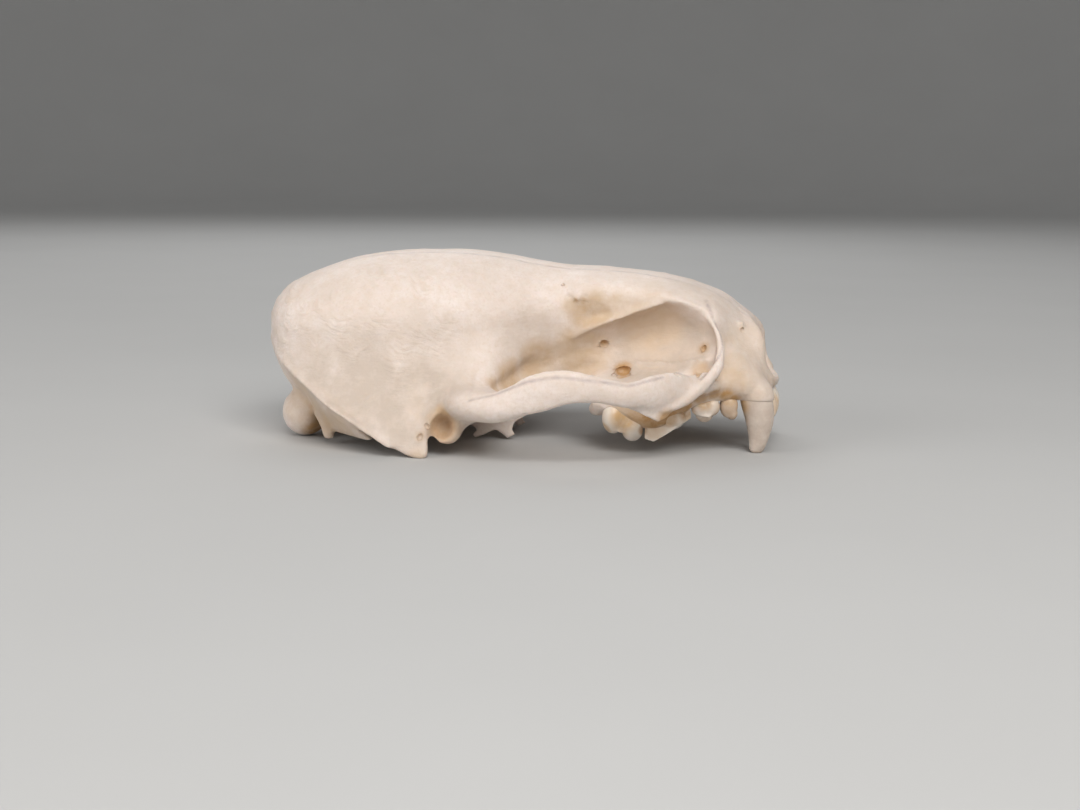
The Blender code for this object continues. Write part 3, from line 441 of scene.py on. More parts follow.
rims += pair(lump((16.2, -17.4, 38.6), (2.2, 1.5, 1.4)))  # brow knobs
rims += pair(lump((56.2, -12.2, 31.6), (1.3, 1.3, 1.3)))  # knobs beside the nose

# The collars round the canines: the bone at the edges of their sockets has grown up
# against the teeth, and stands a little proud.
CANINE_SOCKET = [
    (20, 58.8, -16.8, 3.4, 3.4), (16.6, 60.2, -17.3, 4.6, 4.2), (14.2, 60.7, -17.5, 4.7, 4.2),
    (13.2, 60.8, -17.5, 4.4, 3.9),
]
rims += pair(stack(CANINE_SOCKET))

# The pterygoid plates: two thin walls behind the palate, whose lower edges are drawn
# out into hooks that point down and back. Each row: distance along the skull, height.
PTERYGOID_OUTLINE = [
    (-15, 9), (-14.6, 4), (-11.4, 2.6), (-12.8, 1.2), (-12, 0.2), (-10.2, 0.9), (-6.7, 2.6), (-4.8, 1.4),
    (-3.5, 0.4), (-1.4, 1.4), (-2.2, 2.6), (-1.4, 4.6), (2.2, 6.8), (7, 9.5), (7, 14), (-13, 13),
]


def plate(outline, near, far):
    """Thin upright wall between two distances from the midline."""
    bm = bmesh.new()
    left, right = ([bm.verts.new(Vector((x, y, z)) * MM) for x, z in outline] for y in (near, far))
    for ring in (left, right):
        bm.faces.new(ring)
    for i in range(len(outline)):
        j = (i + 1) % len(outline)
        bm.faces.new((left[i], left[j], right[j], right[i]))
    return new_piece(bm)


rims += pair(plate(PTERYGOID_OUTLINE, -8.6, -10.2))

# The partition of the nose: a thin upright wall of bone on the midline, set back
# behind the opening. Then every form so far is fused into one skin.
PARTITION = [(41, 17), (53.6, 17), (55.4, 19), (54.4, 24), (51.6, 32.4), (41, 33)]
rims.append(plate(PARTITION, -0.6, 0.6))
bone = fuse([bone, *rims], smoothing=3)

# Small openings for vessels and nerves, cut cleanly into the thin bone. Each row: centre,
# radii and turn of a round cutter, set on the nearest spot of the skin.
NERVE_HOLES = [
    ((21.4, -11.9, 26.8), (1.1, 0.9, 0.9), (0, 20, 0)), ((48.2, -17.9, 25.6), (0.7, 0.7, 0.9), (0, 0, 20)),
    ((27.2, -17.5, 19.5), (2, 2.4, 1.3), (0, -6, 0)), ((27.9, -19.6, 17.9), (1.7, 1.6, 0.7), (0, -10, 0)),
    ((25, -18.4, 18.6), (0.4, 0.9, 0.4), (0, 0, 0)), ((41.8, -35.9, 21.7), (1.3, 0.6, 0.4), (0, 25, 38)),
    ((56.5, -12.6, 30.4), (0.9, 0.4, 0.5), (0, 35, 0)), ((16.8, -17.6, 37.4), (1.1, 0.6, 0.3), (0, 25, 0)),
    ((14.9, -17.5, 37.4), (0.6, 0.6, 0.25), (0, -35, 0)), ((11.2, -14.4, 41.2), (0.5, 0.3, 0.16), (0, 10, 0)),
    ((-19.6, -40.4, 8.2), (0.9, 0.9, 0.5), (0, 40, 0)), ((-20.6, -40.6, 5.6), (0.5, 0.9, 0.9), (0, 30, 0)),
]
skin = BVHTree.FromPolygons([v.co for v in bone.data.vertices], [p.vertices for p in bone.data.polygons])
pits = []
for centre, radii, turn in NERVE_HOLES:
    spot = skin.find_nearest(Vector(centre) * MM)[0] / MM
    pits += pair(lump(spot, radii, turn))
carve(bone, pits, voxel=0.2)

# The canal for the nerve of the face opens at the orbit's lower front corner, behind the
# ring, as a three-cornered window.
CANAL_WINDOW = [
    (45.2, -30.5, 23), (48.3, -30.5, 23.3), (46.4, -30.5, 20.5), (45.2, -23, 22.4), (48.1, -23, 22.7),
    (46.3, -23, 19.3),
]
carve(bone, pair(wedge(CANAL_WINDOW)), voxel=0.2)

# The finished skin of bone: freed of scraps inside it, thinned to fewer faces,
# and eased where one grown form should run over into the next.
BONE_TRIANGLES = 190000


def edge_ends(mesh):
    ends = np.empty(len(mesh.edges) * 2, np.int64)
    mesh.edges.foreach_get("vertices", ends)
    return ends[::2], ends[1::2]


def keep_largest(body):
    """Drop every scrap and inner surface but the largest surface."""
    mesh = body.data
    a, b = edge_ends(mesh)
    label, before = np.arange(len(mesh.vertices)), None
    while not np.array_equal(before, label):
        before = label.copy()
        low = np.minimum(label[a], label[b])
        np.minimum.at(label, a, low)
        np.minimum.at(label, b, low)
        label = label[label]
    doomed = np.flatnonzero(label != np.bincount(label).argmax())
    if len(doomed):
        bm = bmesh.new()
        bm.from_mesh(mesh)
        bm.verts.ensure_lookup_table()
        bmesh.ops.delete(bm, geom=[bm.verts[i] for i in doomed], context="VERTS")
        bm.to_mesh(mesh)
        bm.free()


def thin_out(body, triangles):
    """Bring a body down to about so many triangles."""
    count = sum(len(p.vertices) - 2 for p in body.data.polygons)
    if count > triangles:
        fewer = body.modifiers.new("fewer", "DECIMATE")
        fewer.ratio = triangles / count
        settle(body)


def neighbour_mean(mesh, values, rounds):
    """Values smoothed over the mesh in so many rounds."""
    a, b = edge_ends(mesh)
    count = len(mesh.vertices)
    links = np.maximum(np.bincount(a, minlength=count) + np.bincount(b, minlength=count), 1)
    values = values.copy()
    for _ in range(rounds):
        for column in values.T:
            total = np.bincount(a, column[b], count) + np.bincount(b, column[a], count)
            column[:] = 0.5 * column + 0.5 * total / links
    return values


def vectors(items, field):
    """A vector of each of a mesh's items, in rows."""
    found = np.empty(len(items) * 3)
    items.foreach_get(field, found)
    return found.reshape(-1, 3)


def move_to(mesh, co):
    """Set places in millimetres."""
    mesh.vertices.foreach_set("co", (co * MM).ravel())
    mesh.update()


def set_attribute(mesh, name, values):
    kind, field = ("FLOAT", "value") if values.ndim == 1 else ("FLOAT_VECTOR", "vector")
    layer = mesh.attributes.new(name, kind, "POINT")
    layer.data.foreach_set(field, values.astype(np.float32).ravel())


def mark_hollows(mesh):
    """Attribute 'hollow_shade_and_stain': how far each point lies below its surroundings, at two scales, for
    painted shade and tan stain in the hollows.
    """
    co = vectors(mesh.vertices, "co")
    normals = vectors(mesh.vertex_normals, "vector")
    near = ((neighbour_mean(mesh, co, 12) - co) * normals).sum(1) / MM
    wide = ((neighbour_mean(mesh, co, 120) - co) * normals).sum(1) / MM
    set_attribute(mesh, "hollow_shade_and_stain", np.clip(near * 2.2 + wide * 0.5, 0, 1))


# The places that are eased. Each row: centre, reach and rounds of smoothing.
EASED = [
    (-27, -40, 6, 9, 40), (-19, -39, 9, 3, 8), (-20.2, -41, 6.8, 3.4, 6), (-30, -39.6, 4.6, 4.5, 30),
    (10, -17, 26, 10, 140), (21, -17.5, 34.5, 7.5, 20), (15.5, -17.5, 34.6, 6.5, 60), (19, -18.2, 38, 5, 90),
    (25, -18.6, 38, 5, 140), (60.5, -12.5, 25.5, 7, 24), (57.5, -16, 24, 8, 80), (2, -24, 21, 8, 30),
    (42, -34, 20, 5, 14), (44, -19.5, 36.5, 7, 80), (-9, -38, 14.5, 10, 60), (-14.5, -34, 17, 9, 60),
]


def around(co, spots):
    """For spots on both sides: how far off each point is, in shares of a spot's reach."""
    for x, y, z, reach, *values in spots:
        for side in (1, -1):
            yield np.linalg.norm(co - (x, side * y, z), axis=1) / reach, values


def ease(body, spots):
    """Smooth a body round some spots, fading out towards their reach."""
    mesh = body.data
    co = vectors(mesh.vertices, "co") / MM
    for far, (rounds,) in around(co, spots):
        co += (neighbour_mean(mesh, co, rounds) - co) * np.clip(1 - far**2, 0, 1)[:, None]
    move_to(mesh, co)


keep_largest(bone)
thin_out(bone, BONE_TRIANGLES)
ease(bone, EASED)

# Lines on the bone, on both sides: points along each, half width, how far it stands out, and how dark it is.
# Low ridges held muscles, fine grooves are closed seams. Their dark colour marks the seams and a stain line
# above the teeth, and is painted shadow in the crease round the orbit's rim, along the cheek arch's top edge
# and in the groove beside the temporal ridge.
LINES = [
    ([(-46, -9, 46), (-30, -9, 48), (-10, -9, 48), (8, -8.6, 45), (24, -8.6, 44), (44, -9, 41)],
     0.8, 0.22, 0.06),
    # A groove beside the temporal ridge, darkened with painted shadow.
    ([(-46, -7, 47), (-30, -7, 49), (-10, -7, 49), (8, -6.6, 46), (24, -6.6, 45), (40, -7, 42)],
     0.45, -0.2, 0.6),
    ([(-62.5, -2, 40), (-64.6, -7, 36), (-65.8, -11, 31), (-64.8, -14.6, 25.6)], 1.2, 0.45, 0),
    ([(-7.5, -44.7, 15.7), (-7.7, -41.4, 16.9), (-8, -36, 19), (-8.2, -30.9, 21.5)], 0.5, -0.16, 0.1),
    # The cheek arch's top edge: a seam, darkened also with painted shadow of the edge.
    ([(-7.5, -44.9, 15.6), (-0.6, -47, 17.8), (6.4, -49.4, 20.9), (14, -50, 22.4), (22, -48.2, 21.3),
     (30.5, -45, 20), (36.7, -40.8, 21.3), (39.1, -39, 22)], 0.45, -0.18, 0.7),
    # The crease round the front of the orbit's rim, darkened with painted shadow.
    ([(34.9, -38.6, 10.4), (37.7, -37.2, 10.2), (39.7, -36.2, 11.4), (41.7, -35.2, 14.3), (44.1, -33.6, 16),
     (46.9, -31.6, 18.1), (50.4, -27.4, 21.9), (52.2, -24.4, 27.4), (52.1, -23.2, 28.7), (51.5, -21.4, 30.6),
     (49.5, -19.9, 33.9), (48.3, -17.6, 36.9), (47.3, -15.4, 38.4)], 0.4, -0.2, 0.85),
    ([(31.2, -15.7, 22.1), (35.1, -16.9, 21.8), (39.5, -18, 21.8), (42.8, -19.7, 22.6), (45.8, -20.8, 23.3),
     (48.8, -21.9, 24)], 0.75, 1.3, 0),
    ([(14.8, -17.4, 38.2), (16, -17.4, 37.7)], 0.6, 0.7, 0),
    ([(17.2, -17.4, 39.3), (17.7, -17.5, 38.5)], 0.45, -0.45, 0.3),
    ([(12.9, -16.3, 38.9), (13.7, -16.7, 38.6)], 0.4, -0.35, 0.3),
    ([(45.6, -25.2, 13.9), (48.6, -24.8, 15.6), (51.4, -24.2, 16.2), (53.5, -22.9, 16.6),
     (55.2, -22.5, 16.5), (57, -21.6, 14.2)], 0.5, -0.2, 0.4),
    ([(56.5, -21.4, 20.3), (57.7, -22.2, 16.9), (58.4, -21.4, 15)], 0.7, 0.25, 0),
    ([(58.2, -19.6, 22.3), (59.1, -21.8, 17.9), (60.5, -21.2, 17.5)], 0.7, 0.2, 0),
    ([(59, 0, 33), (54, 0, 38), (48, 0, 41), (44, 0, 42)], 0.5, -0.14, 0.3),
    ([(58, -7, 33), (54, -7, 36.5), (49, -6, 40), (43, -1, 42)], 0.5, -0.12, 0.25),
]


def on_surface(tree, points, spacing=0.6):
    """Points close together along a path, each set on the skin."""
    found = []
    for start, end in zip(points, points[1:]):
        start, end = Vector(start), Vector(end)
        count = max(2, int((end - start).length / spacing))
        for k in range(count):
            spot = start.lerp(end, k / count)
            found.append(tree.find_nearest(spot * MM)[0] / MM)
    return np.array(found)


def waves(co, scale):
    """Smooth noise at each point."""
    return np.array([noise.noise(Vector(c) * scale) for c in co])


def grow_lines(body, lines):
    """Raise ridges and sink grooves, and keep attribute 'seam_and_crease_shadow' for their dark colour:
    seams, a stain line and painted shadow in creases.
    """
    mesh = body.data
    co = vectors(mesh.vertices, "co") / MM
    normals = vectors(mesh.vertex_normals, "vector")
    tree = BVHTree.FromPolygons([Vector(c) * MM for c in co], [p.vertices for p in mesh.polygons])
    height, dark = np.zeros((2, len(co)))
    for points, width, rise, shade in lines:
        for side in (1, -1):
            path = on_surface(tree, [(x, side * y, z) for x, y, z in points])
            low, high = path.min(0) - 3 * width, path.max(0) + 3 * width
            near = np.flatnonzero(((co > low) & (co < high)).all(1))
            gap = np.full(len(near), np.inf)
            for spot in path:
                gap = np.minimum(gap, ((co[near] - spot) ** 2).sum(1))
            amount = np.exp(-gap / width**2)
            wobble = 0.7 + 0.5 * waves(co[near], 0.35)
            height[near] += rise * amount * wobble
            dark[near] = np.maximum(dark[near], shade * amount * wobble)
    co += normals * height[:, None]
    move_to(mesh, co)
    set_attribute(mesh, "seam_and_crease_shadow", dark)


grow_lines(bone, LINES)

# Grown bone is never quite even: it is sunk in soft dents, and the braincase carries
# fine streaks where the jaw muscle's fibres spread over it.
FIBRE_CENTRE = (6, 20)
DENT_DEPTH, PIT_DEPTH, STREAK_DEPTH = 0.3, 0.16, 0.3


def weather(body):
    """Dent the skin, and keep attributes 'fibre' and 'streaks' for its look."""
    mesh = body.data
    co = vectors(mesh.vertices, "co") / MM
    normals = vectors(mesh.vertex_normals, "vector")
    x, y, z = co.T
    back, up = FIBRE_CENTRE[0] - x, z - FIBRE_CENTRE[1]
    out, turn = np.hypot(back, up), np.arctan2(up, back)
    streaks = np.clip((4 - x) / 12, 0, 1) * np.clip((z - 4) / 5, 0, 1) * np.clip((out - 12) / 20, 0, 1)
    streaks *= np.clip((np.abs(y) - 6) / 8, 0, 1)
    dents = waves(co, 0.13) + 0.5 * waves(co, 0.31)
    fibre = np.stack([turn * 36 + dents * 2.2, out * 0.3 + dents, y * 0.2], axis=1)
    streaks *= np.clip(0.45 + dents * 0.9, 0, 1)
    small = waves(co, 0.55) + 0.6 * waves(co, 1.2)
    sunk = DENT_DEPTH * (0.5 - 0.5 * np.clip(dents, -1, 1))
    sunk += PIT_DEPTH * (0.5 - 0.5 * np.clip(small, -1, 1))
    sunk += STREAK_DEPTH * streaks * (0.5 - 0.5 * waves(fibre, 0.55))
    co -= normals * (sunk * np.clip(z / 4, 0, 1))[:, None]
    co[:, 2] = np.maximum(co[:, 2], -0.02)
    move_to(mesh, co)
    set_attribute(mesh, "streaks", streaks)
    set_attribute(mesh, "fibre", fibre)


weather(bone)

# Painted shade darkens the bone in a neutral tone where light falls weakly: in the orbits and the hollows of
# the temple and brow, on the low braincase and the occiput, on the muzzle and under the mastoid foot. Tan is
# old fat and dirt in the hollows together with painted shade there, and brown marks old stain at a few spots.
# Each row: centre, reach, and how much painted shade, tan and brown.
STAINS_AND_SHADE = [
    (33, -15, 21, 14.5, 1, 0.15, 0), (33, -14, 32, 12, 0, 0.8, 0), (44, -17, 26, 11, 1, 0.1, 0),
    (16, -13.5, 24.5, 10, 0.2, 1, 0.05), (6, -18, 21.5, 8, 0.2, 1, 0.12), (0.5, -25, 18.5, 6.5, 0, 1, 0.2),
    (-3.5, -31, 17, 3.5, 0, 0.8, 0.2), (-40, -35, 13, 25, 0.9, 0.05, 0), (-22, -36, 13, 18, 1, 0.05, 0),
    (-22, -31, 26, 15, 0.5, 0, 0), (4, -20, 27, 12, 0.5, 0.1, 0), (60, -14, 22, 17, 0.3, 0.35, 0),
    (57, -20, 18, 6.5, 0.3, 0.5, 0), (55.3, -19.5, 22, 6, 0.7, 0.5, 0), (46, -12, 39, 13, 0.4, 0.05, 0),
    (20, -17, 35, 7, 0, 1, 0.04), (17, -17, 33.6, 5, 0.6, 1, 0.25), (14.5, -17.5, 35.6, 4.5, 0, 0.8, 0),
    (25.5, -17.5, 36, 5.5, 0, 0.8, 0), (16.8, -17.6, 37.4, 1.5, 0, 1, 0.35),
    (14.9, -17.5, 37.4, 1.2, 0, 1, 0.35), (21.4, -11.4, 26.8, 2.6, 0, 1, 0.8),
    (48.2, -17.4, 25.6, 2.8, 0, 1, 0.9), (27.2, -15.3, 19.5, 3.2, 0, 1, 1),
    (27.9, -19.6, 17.9, 2.4, 0, 1, 0.6), (46.8, -22.6, 21.2, 3.2, 0, 0.8, 0.3),
    (-15.2, -36, 7.6, 6, 0, 1, 0.4), (-15, -37, 10.6, 3.6, 0, 1, 0.4), (-19.6, -39.6, 8.2, 2.2, 0, 0.9, 0.3),
    (-20.6, -39.8, 5.6, 2.2, 0, 0.9, 0.3), (-21.5, -41, -0.6, 4.2, 1, 0.6, 0),
    (-42, -30, 4.5, 9, 0.2, 0.7, 0), (-46.5, -24, 8, 9, 0, 1, 0.08), (-54, -24, 15, 7, 0, 0.6, 0),
    (-56, -17, 9, 8, 0, 0.6, 0), (-51, -19, 7, 6, 0, 1, 0.4), (-52.5, -15, 2.4, 5.4, 0, 1, 0.9),
    (28.5, -25, 10.4, 5.5, 0, 0.9, 0.1), (31.5, -25.6, 9.4, 3.6, 0, 1, 0.6), (35, -26.6, 8.4, 4.4, 0, 1, 1),
    (39, -26.2, 9.6, 4.4, 0, 1, 1), (43, -25.6, 12, 3.8, 0, 1, 0.9), (47, -24.8, 14.4, 2.8, 0, 1, 0.7),
    (50.5, -24.4, 15.6, 2.6, 0, 1, 0.8), (53.5, -23.2, 14.8, 2.8, 0, 1, 1), (55.4, -21.8, 13.6, 2.4, 0, 1, 1),
    (54, -22, 18, 7, 0, 0.8, 0.05), (39, -36.5, 11.4, 3.6, 0, 0.9, 0.8),
    (43.6, -33.4, 15.4, 2.8, 0, 0.7, 0.25), (60.5, -21, 14.2, 3.8, 0, 0.35, 0.05),
    (65.8, -8, 15.4, 2.6, 0, 0.6, 0.25), (62.5, -12, 17, 4, 0, 0.4, 0.1),
]


def paint_stains_and_shade(body, stain_and_shade_spots):
    """Attributes 'painted_shade', 'tan' and 'brown' from spots of painted shade and stain on both sides."""
    mesh = body.data
    co = vectors(mesh.vertices, "co") / MM
    depths = np.zeros((3, len(co)))
    for far, strengths in around(co, stain_and_shade_spots):
        depths = np.maximum(depths, np.outer(strengths, np.clip(2 - 2 * far, 0, 1) ** 1.2))
    for name, depth in zip(("painted_shade", "tan", "brown"), depths):
        set_attribute(mesh, name, depth)


paint_stains_and_shade(bone, STAINS_AND_SHADE)

bone.data.shade_smooth()
mark_hollows(bone.data)


class Nodes:
    """A node tree, with short calls to add its nodes and join them."""

    def __init__(self, tree):
        self.tree = tree

    def feed(self, socket, value):
        if isinstance(value, bpy.types.NodeSocket):
            self.tree.links.new(value, socket)
        else:
            socket.default_value = value

    def add(self, kind, inputs=(), out=0, **settings):
        """Add a node, with inputs by name or in order, and return one output."""
        node = self.tree.nodes.new(kind)
        for name, value in settings.items():
            setattr(node, name, value)
        for key, value in inputs.items() if isinstance(inputs, dict) else enumerate(inputs):
            self.feed(node.inputs[key], value)
        return node.outputs[out]

    def maths(self, kind, *values):
        return self.add("ShaderNodeMath", values, operation=kind)

    def times(self, first, second):
        return self.maths("MULTIPLY", first, second)

    def vector(self, **axes):
        return self.add("ShaderNodeCombineXYZ", axes)


class Surface(Nodes):
    """The node tree of a material."""

    def __init__(self, name):
        self.material = bpy.data.materials.new(name)
        self.material.use_nodes = True
        super().__init__(self.material.node_tree)
        self.place = self.add("ShaderNodeTexCoord", out="Object")

    def noise(self, scale, detail=4, roughness=0.55, stretch=None, place=None):
        place = place or self.place
        if stretch:
            place = self.add("ShaderNodeMapping", {"Vector": place, "Scale": stretch})
        grain = {"Vector": place, "Scale": scale, "Detail": detail, "Roughness": roughness}
        return self.add("ShaderNodeTexNoise", grain, "Fac")

    def spread(self, source, low, high, least=0, most=1):
        """A value stretched so that low becomes the least and high the most."""
        return self.add("ShaderNodeMapRange", (source, low, high, least, most))

    def blend(self, amount, first, second):
        first, second = ((*c, 1) if isinstance(c, tuple) else c for c in (first, second))
        return self.add("ShaderNodeMix", {0: amount, 6: first, 7: second}, 2, data_type="RGBA")

    def tint(self, colour, amount, share, target):
        """The colour, moved towards a target by an amount times a share."""
        return self.blend(self.times(amount, share), colour, target)

    def attribute(self, name, out="Fac"):
        return self.add("ShaderNodeAttribute", out=out, attribute_name=name)

    def bump(self, height, distance, strength, after=None):
        inputs = {"Height": height, "Distance": distance, "Strength": strength}
        if after:
            inputs["Normal"] = after
        return self.add("ShaderNodeBump", inputs)

    def finish(self, **values):
        """Join values to the shader, named as its inputs are, and return the material."""
        for name, value in values.items():
            self.feed(self.tree.nodes["Principled BSDF"].inputs[name.replace("_", " ")], value)
        return self.material


# Bleached bone: warm white, with painted shade and tan stain where it is hollow, and with fine fibres and
# pores.
n = Surface("bleached_bone")
cloud = n.spread(n.noise(70, 5), 0.32, 0.68)
colour = n.blend(cloud, (0.745, 0.635, 0.565), (0.838, 0.742, 0.69))
colour = n.tint(colour, n.spread(n.noise(420, 5, 0.65), 0.38, 0.72), 0.62, (0.70, 0.575, 0.475))
colour = n.tint(colour, n.spread(n.noise(1500, 3, 0.6), 0.5, 0.72), 0.4, (0.66, 0.53, 0.43))
# Painted shade in the hollows, together with their tan stain: the deeper a spot lies, the more tan it is
# painted.
hollow_shade_and_stain = n.spread(n.attribute("hollow_shade_and_stain"), 0.05, 0.9)
patchy = n.times(hollow_shade_and_stain, n.spread(n.noise(160), 0.2, 0.62))
colour = n.tint(colour, patchy, 0.6, (0.62, 0.45, 0.29))
streak = n.noise(1, roughness=0.5, place=n.attribute("fibre", "Vector"))
strands = n.times(n.spread(streak, 0.45, 0.7), n.attribute("streaks"))
colour = n.tint(colour, strands, 0.6, (0.66, 0.535, 0.43))
# Painted shade in a neutral tone, then tan and brown, each uneven, from the table of stains and shade.
for name, scale, roughness, low, high, target in (
    ("painted_shade", 130, 0.65, 0.2, 0.58, (0.57, 0.475, 0.40)),
    ("tan", 230, 0.6, 0.05, 0.6, (0.62, 0.468, 0.325)),
    ("brown", 420, 0.65, 0.12, 0.55, (0.47, 0.265, 0.105)),
):
    uneven = n.spread(n.noise(scale, 5, roughness), low, high)
    colour = n.tint(colour, n.attribute(name), uneven, target)
# Dark lines: seams and a stain line, and painted shadow in the creases along the orbit's rim, the cheek
# arch's top edge and the temporal ridge.
colour = n.blend(n.attribute("seam_and_crease_shadow"), colour, (0.34, 0.27, 0.27))
skin = n.bump(n.noise(1, 4, 0.6, (260, 500, 1900)), 0.00012, 0.5)
skin = n.bump(n.times(streak, n.attribute("streaks")), 0.0005, 0.9, skin)
skin = n.bump(n.noise(450, 6, 0.65), 0.0003, 0.6, skin)
skin = n.bump(n.noise(2600, 3), 0.00004, 0.5, skin)
bleached = n.finish(
    Base_Color=colour, Normal=skin, Roughness=n.spread(n.noise(300), 0, 1, 0.46, 0.66),
    Subsurface_Weight=0.12, Subsurface_Radius=(0.0022, 0.0012, 0.0007), Subsurface_Scale=1.0,
    Specular_IOR_Level=0.4,
)
bone.data.materials.clear()
bone.data.materials.append(bleached)

# The skull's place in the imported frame: its right canine, made here for that, stands
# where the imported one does. Each row: height, centre, half length and half width.
CANINE = [
    (20, 57.6, -17.2, 1.4, 1.4), (17, 59.2, -17.4, 2.9, 2.8), (13.4, 60.7, -17.6, 4.1, 3.5),
    (11, 61.2, -17.6, 3.95, 3.4), (8.6, 61.6, -17.5, 3.6, 3.15), (6.5, 61.7, -17.2, 3.2, 2.85),
    (4.4, 61.6, -17, 2.7, 2.5), (2.3, 61.4, -16.9, 2.25, 2.1), (0.6, 61.1, -16.7, 1.75, 1.65),
    (0, 61.1, -16.7, 1.15, 1.1),
]

canine_right = fuse([stack(CANINE, 32)], smoothing=2, voxel=0.2)
lowest = vectors(canine_right.data.vertices, "co").min(0)
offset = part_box("canine_right")[0] - Vector(lowest)
bone.data.transform(Matrix.Translation(offset))
bone.name = "cranium_bone"
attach(bone, "root")
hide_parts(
    "braincase", "occiput", "frontal", "muzzle", "upper_jaw", "zygomatic_arch_right",
    "zygomatic_arch_left", "auditory_bulla_right", "auditory_bulla_left", "pterygoid_right",
    "pterygoid_left",
)

# The scrolls of the nose: thin leaves of bone rolled up lengthwise, three on each side of
# the partition. One leaf is swept along a spiral and set out in a column.
SCROLLS = {
    "Count": 3, "Rise": 3.9 * MM, "Lean": 0.5 * MM, "Twist": 2.1, "Turns": 1.9, "Core": 0.45 * MM,
    "Reach": 2.3 * MM, "Depth": 11 * MM, "Thickness": 0.32 * MM,
}
SCROLL_PLACE = (49, -4.6, 20.6)


def grow(name, values, lay):
    """New object made by a node tree with these inputs. Lay adds the nodes that shape it."""
    n = Nodes(bpy.data.node_groups.new(name, "GeometryNodeTree"))
    new_socket = n.tree.interface.new_socket
    for way in ("OUTPUT", "INPUT"):
        new_socket(name="Geometry", in_out=way, socket_type="NodeSocketGeometry")
    kinds = {int: "Int", float: "Float", bpy.types.Object: "Object", bpy.types.Material: "Material"}
    sockets = {}
    for key, value in values.items():
        kind = "NodeSocket" + kinds[type(value)]
        sockets[key] = new_socket(name=key, in_out="INPUT", socket_type=kind).identifier
    given = n.tree.nodes.new("NodeGroupInput").outputs
    real = n.add("GeometryNodeRealizeInstances", [lay(n, given)])
    coat = n.add("GeometryNodeSetMaterial", {"Geometry": real, "Material": given["Surface"]})
    n.feed(n.tree.nodes.new("NodeGroupOutput").inputs[0], coat)
    made = new_object(name, bpy.data.meshes.new(name))
    maker = made.modifiers.new(name, "NODES")
    maker.node_group = n.tree
    for key, value in values.items():
        maker[sockets[key]] = value
    settle(made)
    return made


def lay_scrolls(n, given):
    """A leaf rolled into a spiral and set out in a column, each a little turned."""
    spiral = n.add("GeometryNodeCurveSpiral", {
        "Resolution": 28, "Rotations": given["Turns"], "Start Radius": given["Core"],
        "End Radius": given["Reach"], "Height": 0.0,
    })
    edge = {"Width": given["Thickness"], "Height": given["Depth"]}
    leaf = n.add("GeometryNodeCurvePrimitiveQuadrilateral", edge)
    swept = n.add("GeometryNodeCurveToMesh", {"Curve": spiral, "Profile Curve": leaf, "Fill Caps": True})
    laid = n.add("GeometryNodeTransform", {"Geometry": swept, "Rotation": (0, radians(90), 0)})
    step = n.vector(Y=given["Lean"], Z=given["Rise"])
    column = n.add("GeometryNodeMeshLine", {"Count": given["Count"], "Offset": step})
    spin = n.vector(X=n.times(n.add("GeometryNodeInputIndex"), given["Twist"]))
    return n.add("GeometryNodeInstanceOnPoints", {"Points": column, "Instance": laid, "Rotation": spin})


scrolls = grow("nose_scrolls", {**SCROLLS, "Surface": bleached}, lay_scrolls)
scrolls.data.transform(Matrix.Translation(Vector(SCROLL_PLACE) * MM + offset))
for piece, side in zip(pair(scrolls), ("right", "left")):
    piece.name = "nose_scrolls_" + side
    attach(piece, "root")

# The canines: long pointed teeth under ivory enamel, worn blunt at the tip.
# Each is held in its deep socket by a long root.
n = Surface("tooth_enamel")
colour = n.blend(n.spread(n.noise(220), 0.3, 0.7), (0.76, 0.66, 0.56), (0.84, 0.765, 0.685))
# Painted shade, together with tan stain, in the crevices of the teeth.
colour = n.tint(colour, n.spread(n.attribute("hollow_shade_and_stain"), 0.05, 0.8), 0.8, (0.52, 0.36, 0.2))
uneven = n.spread(n.noise(330, 5, 0.6), 0.05, 0.6)
# Painted shade in a neutral tone, then tan and brown on the teeth, from their table of stains and shade.
for name, target in (
    ("painted_shade", (0.57, 0.465, 0.39)), ("tan", (0.70, 0.47, 0.24)), ("brown", (0.33, 0.22, 0.16)),
):
    colour = n.tint(colour, n.attribute(name), uneven, target)
enamel = n.finish(
    Base_Color=colour, Roughness=n.spread(n.noise(600), 0, 1, 0.25, 0.42),
    Normal=n.bump(n.noise(1, 4, 0.6, (1400, 1400, 200)), 0.00006, 0.4),
    Subsurface_Weight=0.15, Subsurface_Radius=(0.0018, 0.0012, 0.0008), Subsurface_Scale=1.0,
)

# Stains of the teeth near the gums, on the molar's side and on the worn tips, and painted shade over the
# canine and on parts of the cheek teeth and incisors. Columns as for the bone.
TOOTH_TRIANGLES = 16000
TOOTH_STAINS_AND_SHADE = [
    (28.5, -25.4, 9.6, 4.8, 0, 1, 0.15), (23.6, -24.6, 6.4, 2, 0, 0.8, 0.3),
    (35.5, -25.6, 6.4, 3.4, 0, 0.5, 0.15), (39.5, -25.4, 9.4, 3, 0, 0.8, 0.4),
    (28.4, -25, 6.4, 2.4, 0, 0.6, 0.3), (33, -25, 6.2, 1.8, 0, 0.8, 0.5),
    (43.5, -24.4, 11.2, 3.4, 0, 0.8, 0.4), (48, -22.6, 13.4, 3, 0, 0.8, 0.1), (54, -21.2, 14, 3, 0, 0.8, 0.2),
    (48, -20.6, 8.2, 2.2, 0, 0.3, 0.5), (54.8, -19.6, 8.8, 2, 0, 0.6, 0.7), (57, -18.5, 12.6, 3.6, 0, 1, 0.4),
    (61.4, -17, 6, 16, 0.95, 0, 0), (54, -19.6, 10.4, 6, 1, 0.4, 0.3), (47.4, -21.6, 10.6, 5, 0.5, 0, 0),
    (66.4, -9, 11.4, 5, 0.7, 0.5, 0), (24, -22, 6, 2, 0, 0.5, 0.1), (61.1, -16.7, 0, 1.6, 0, 0.3, 0.1),
]


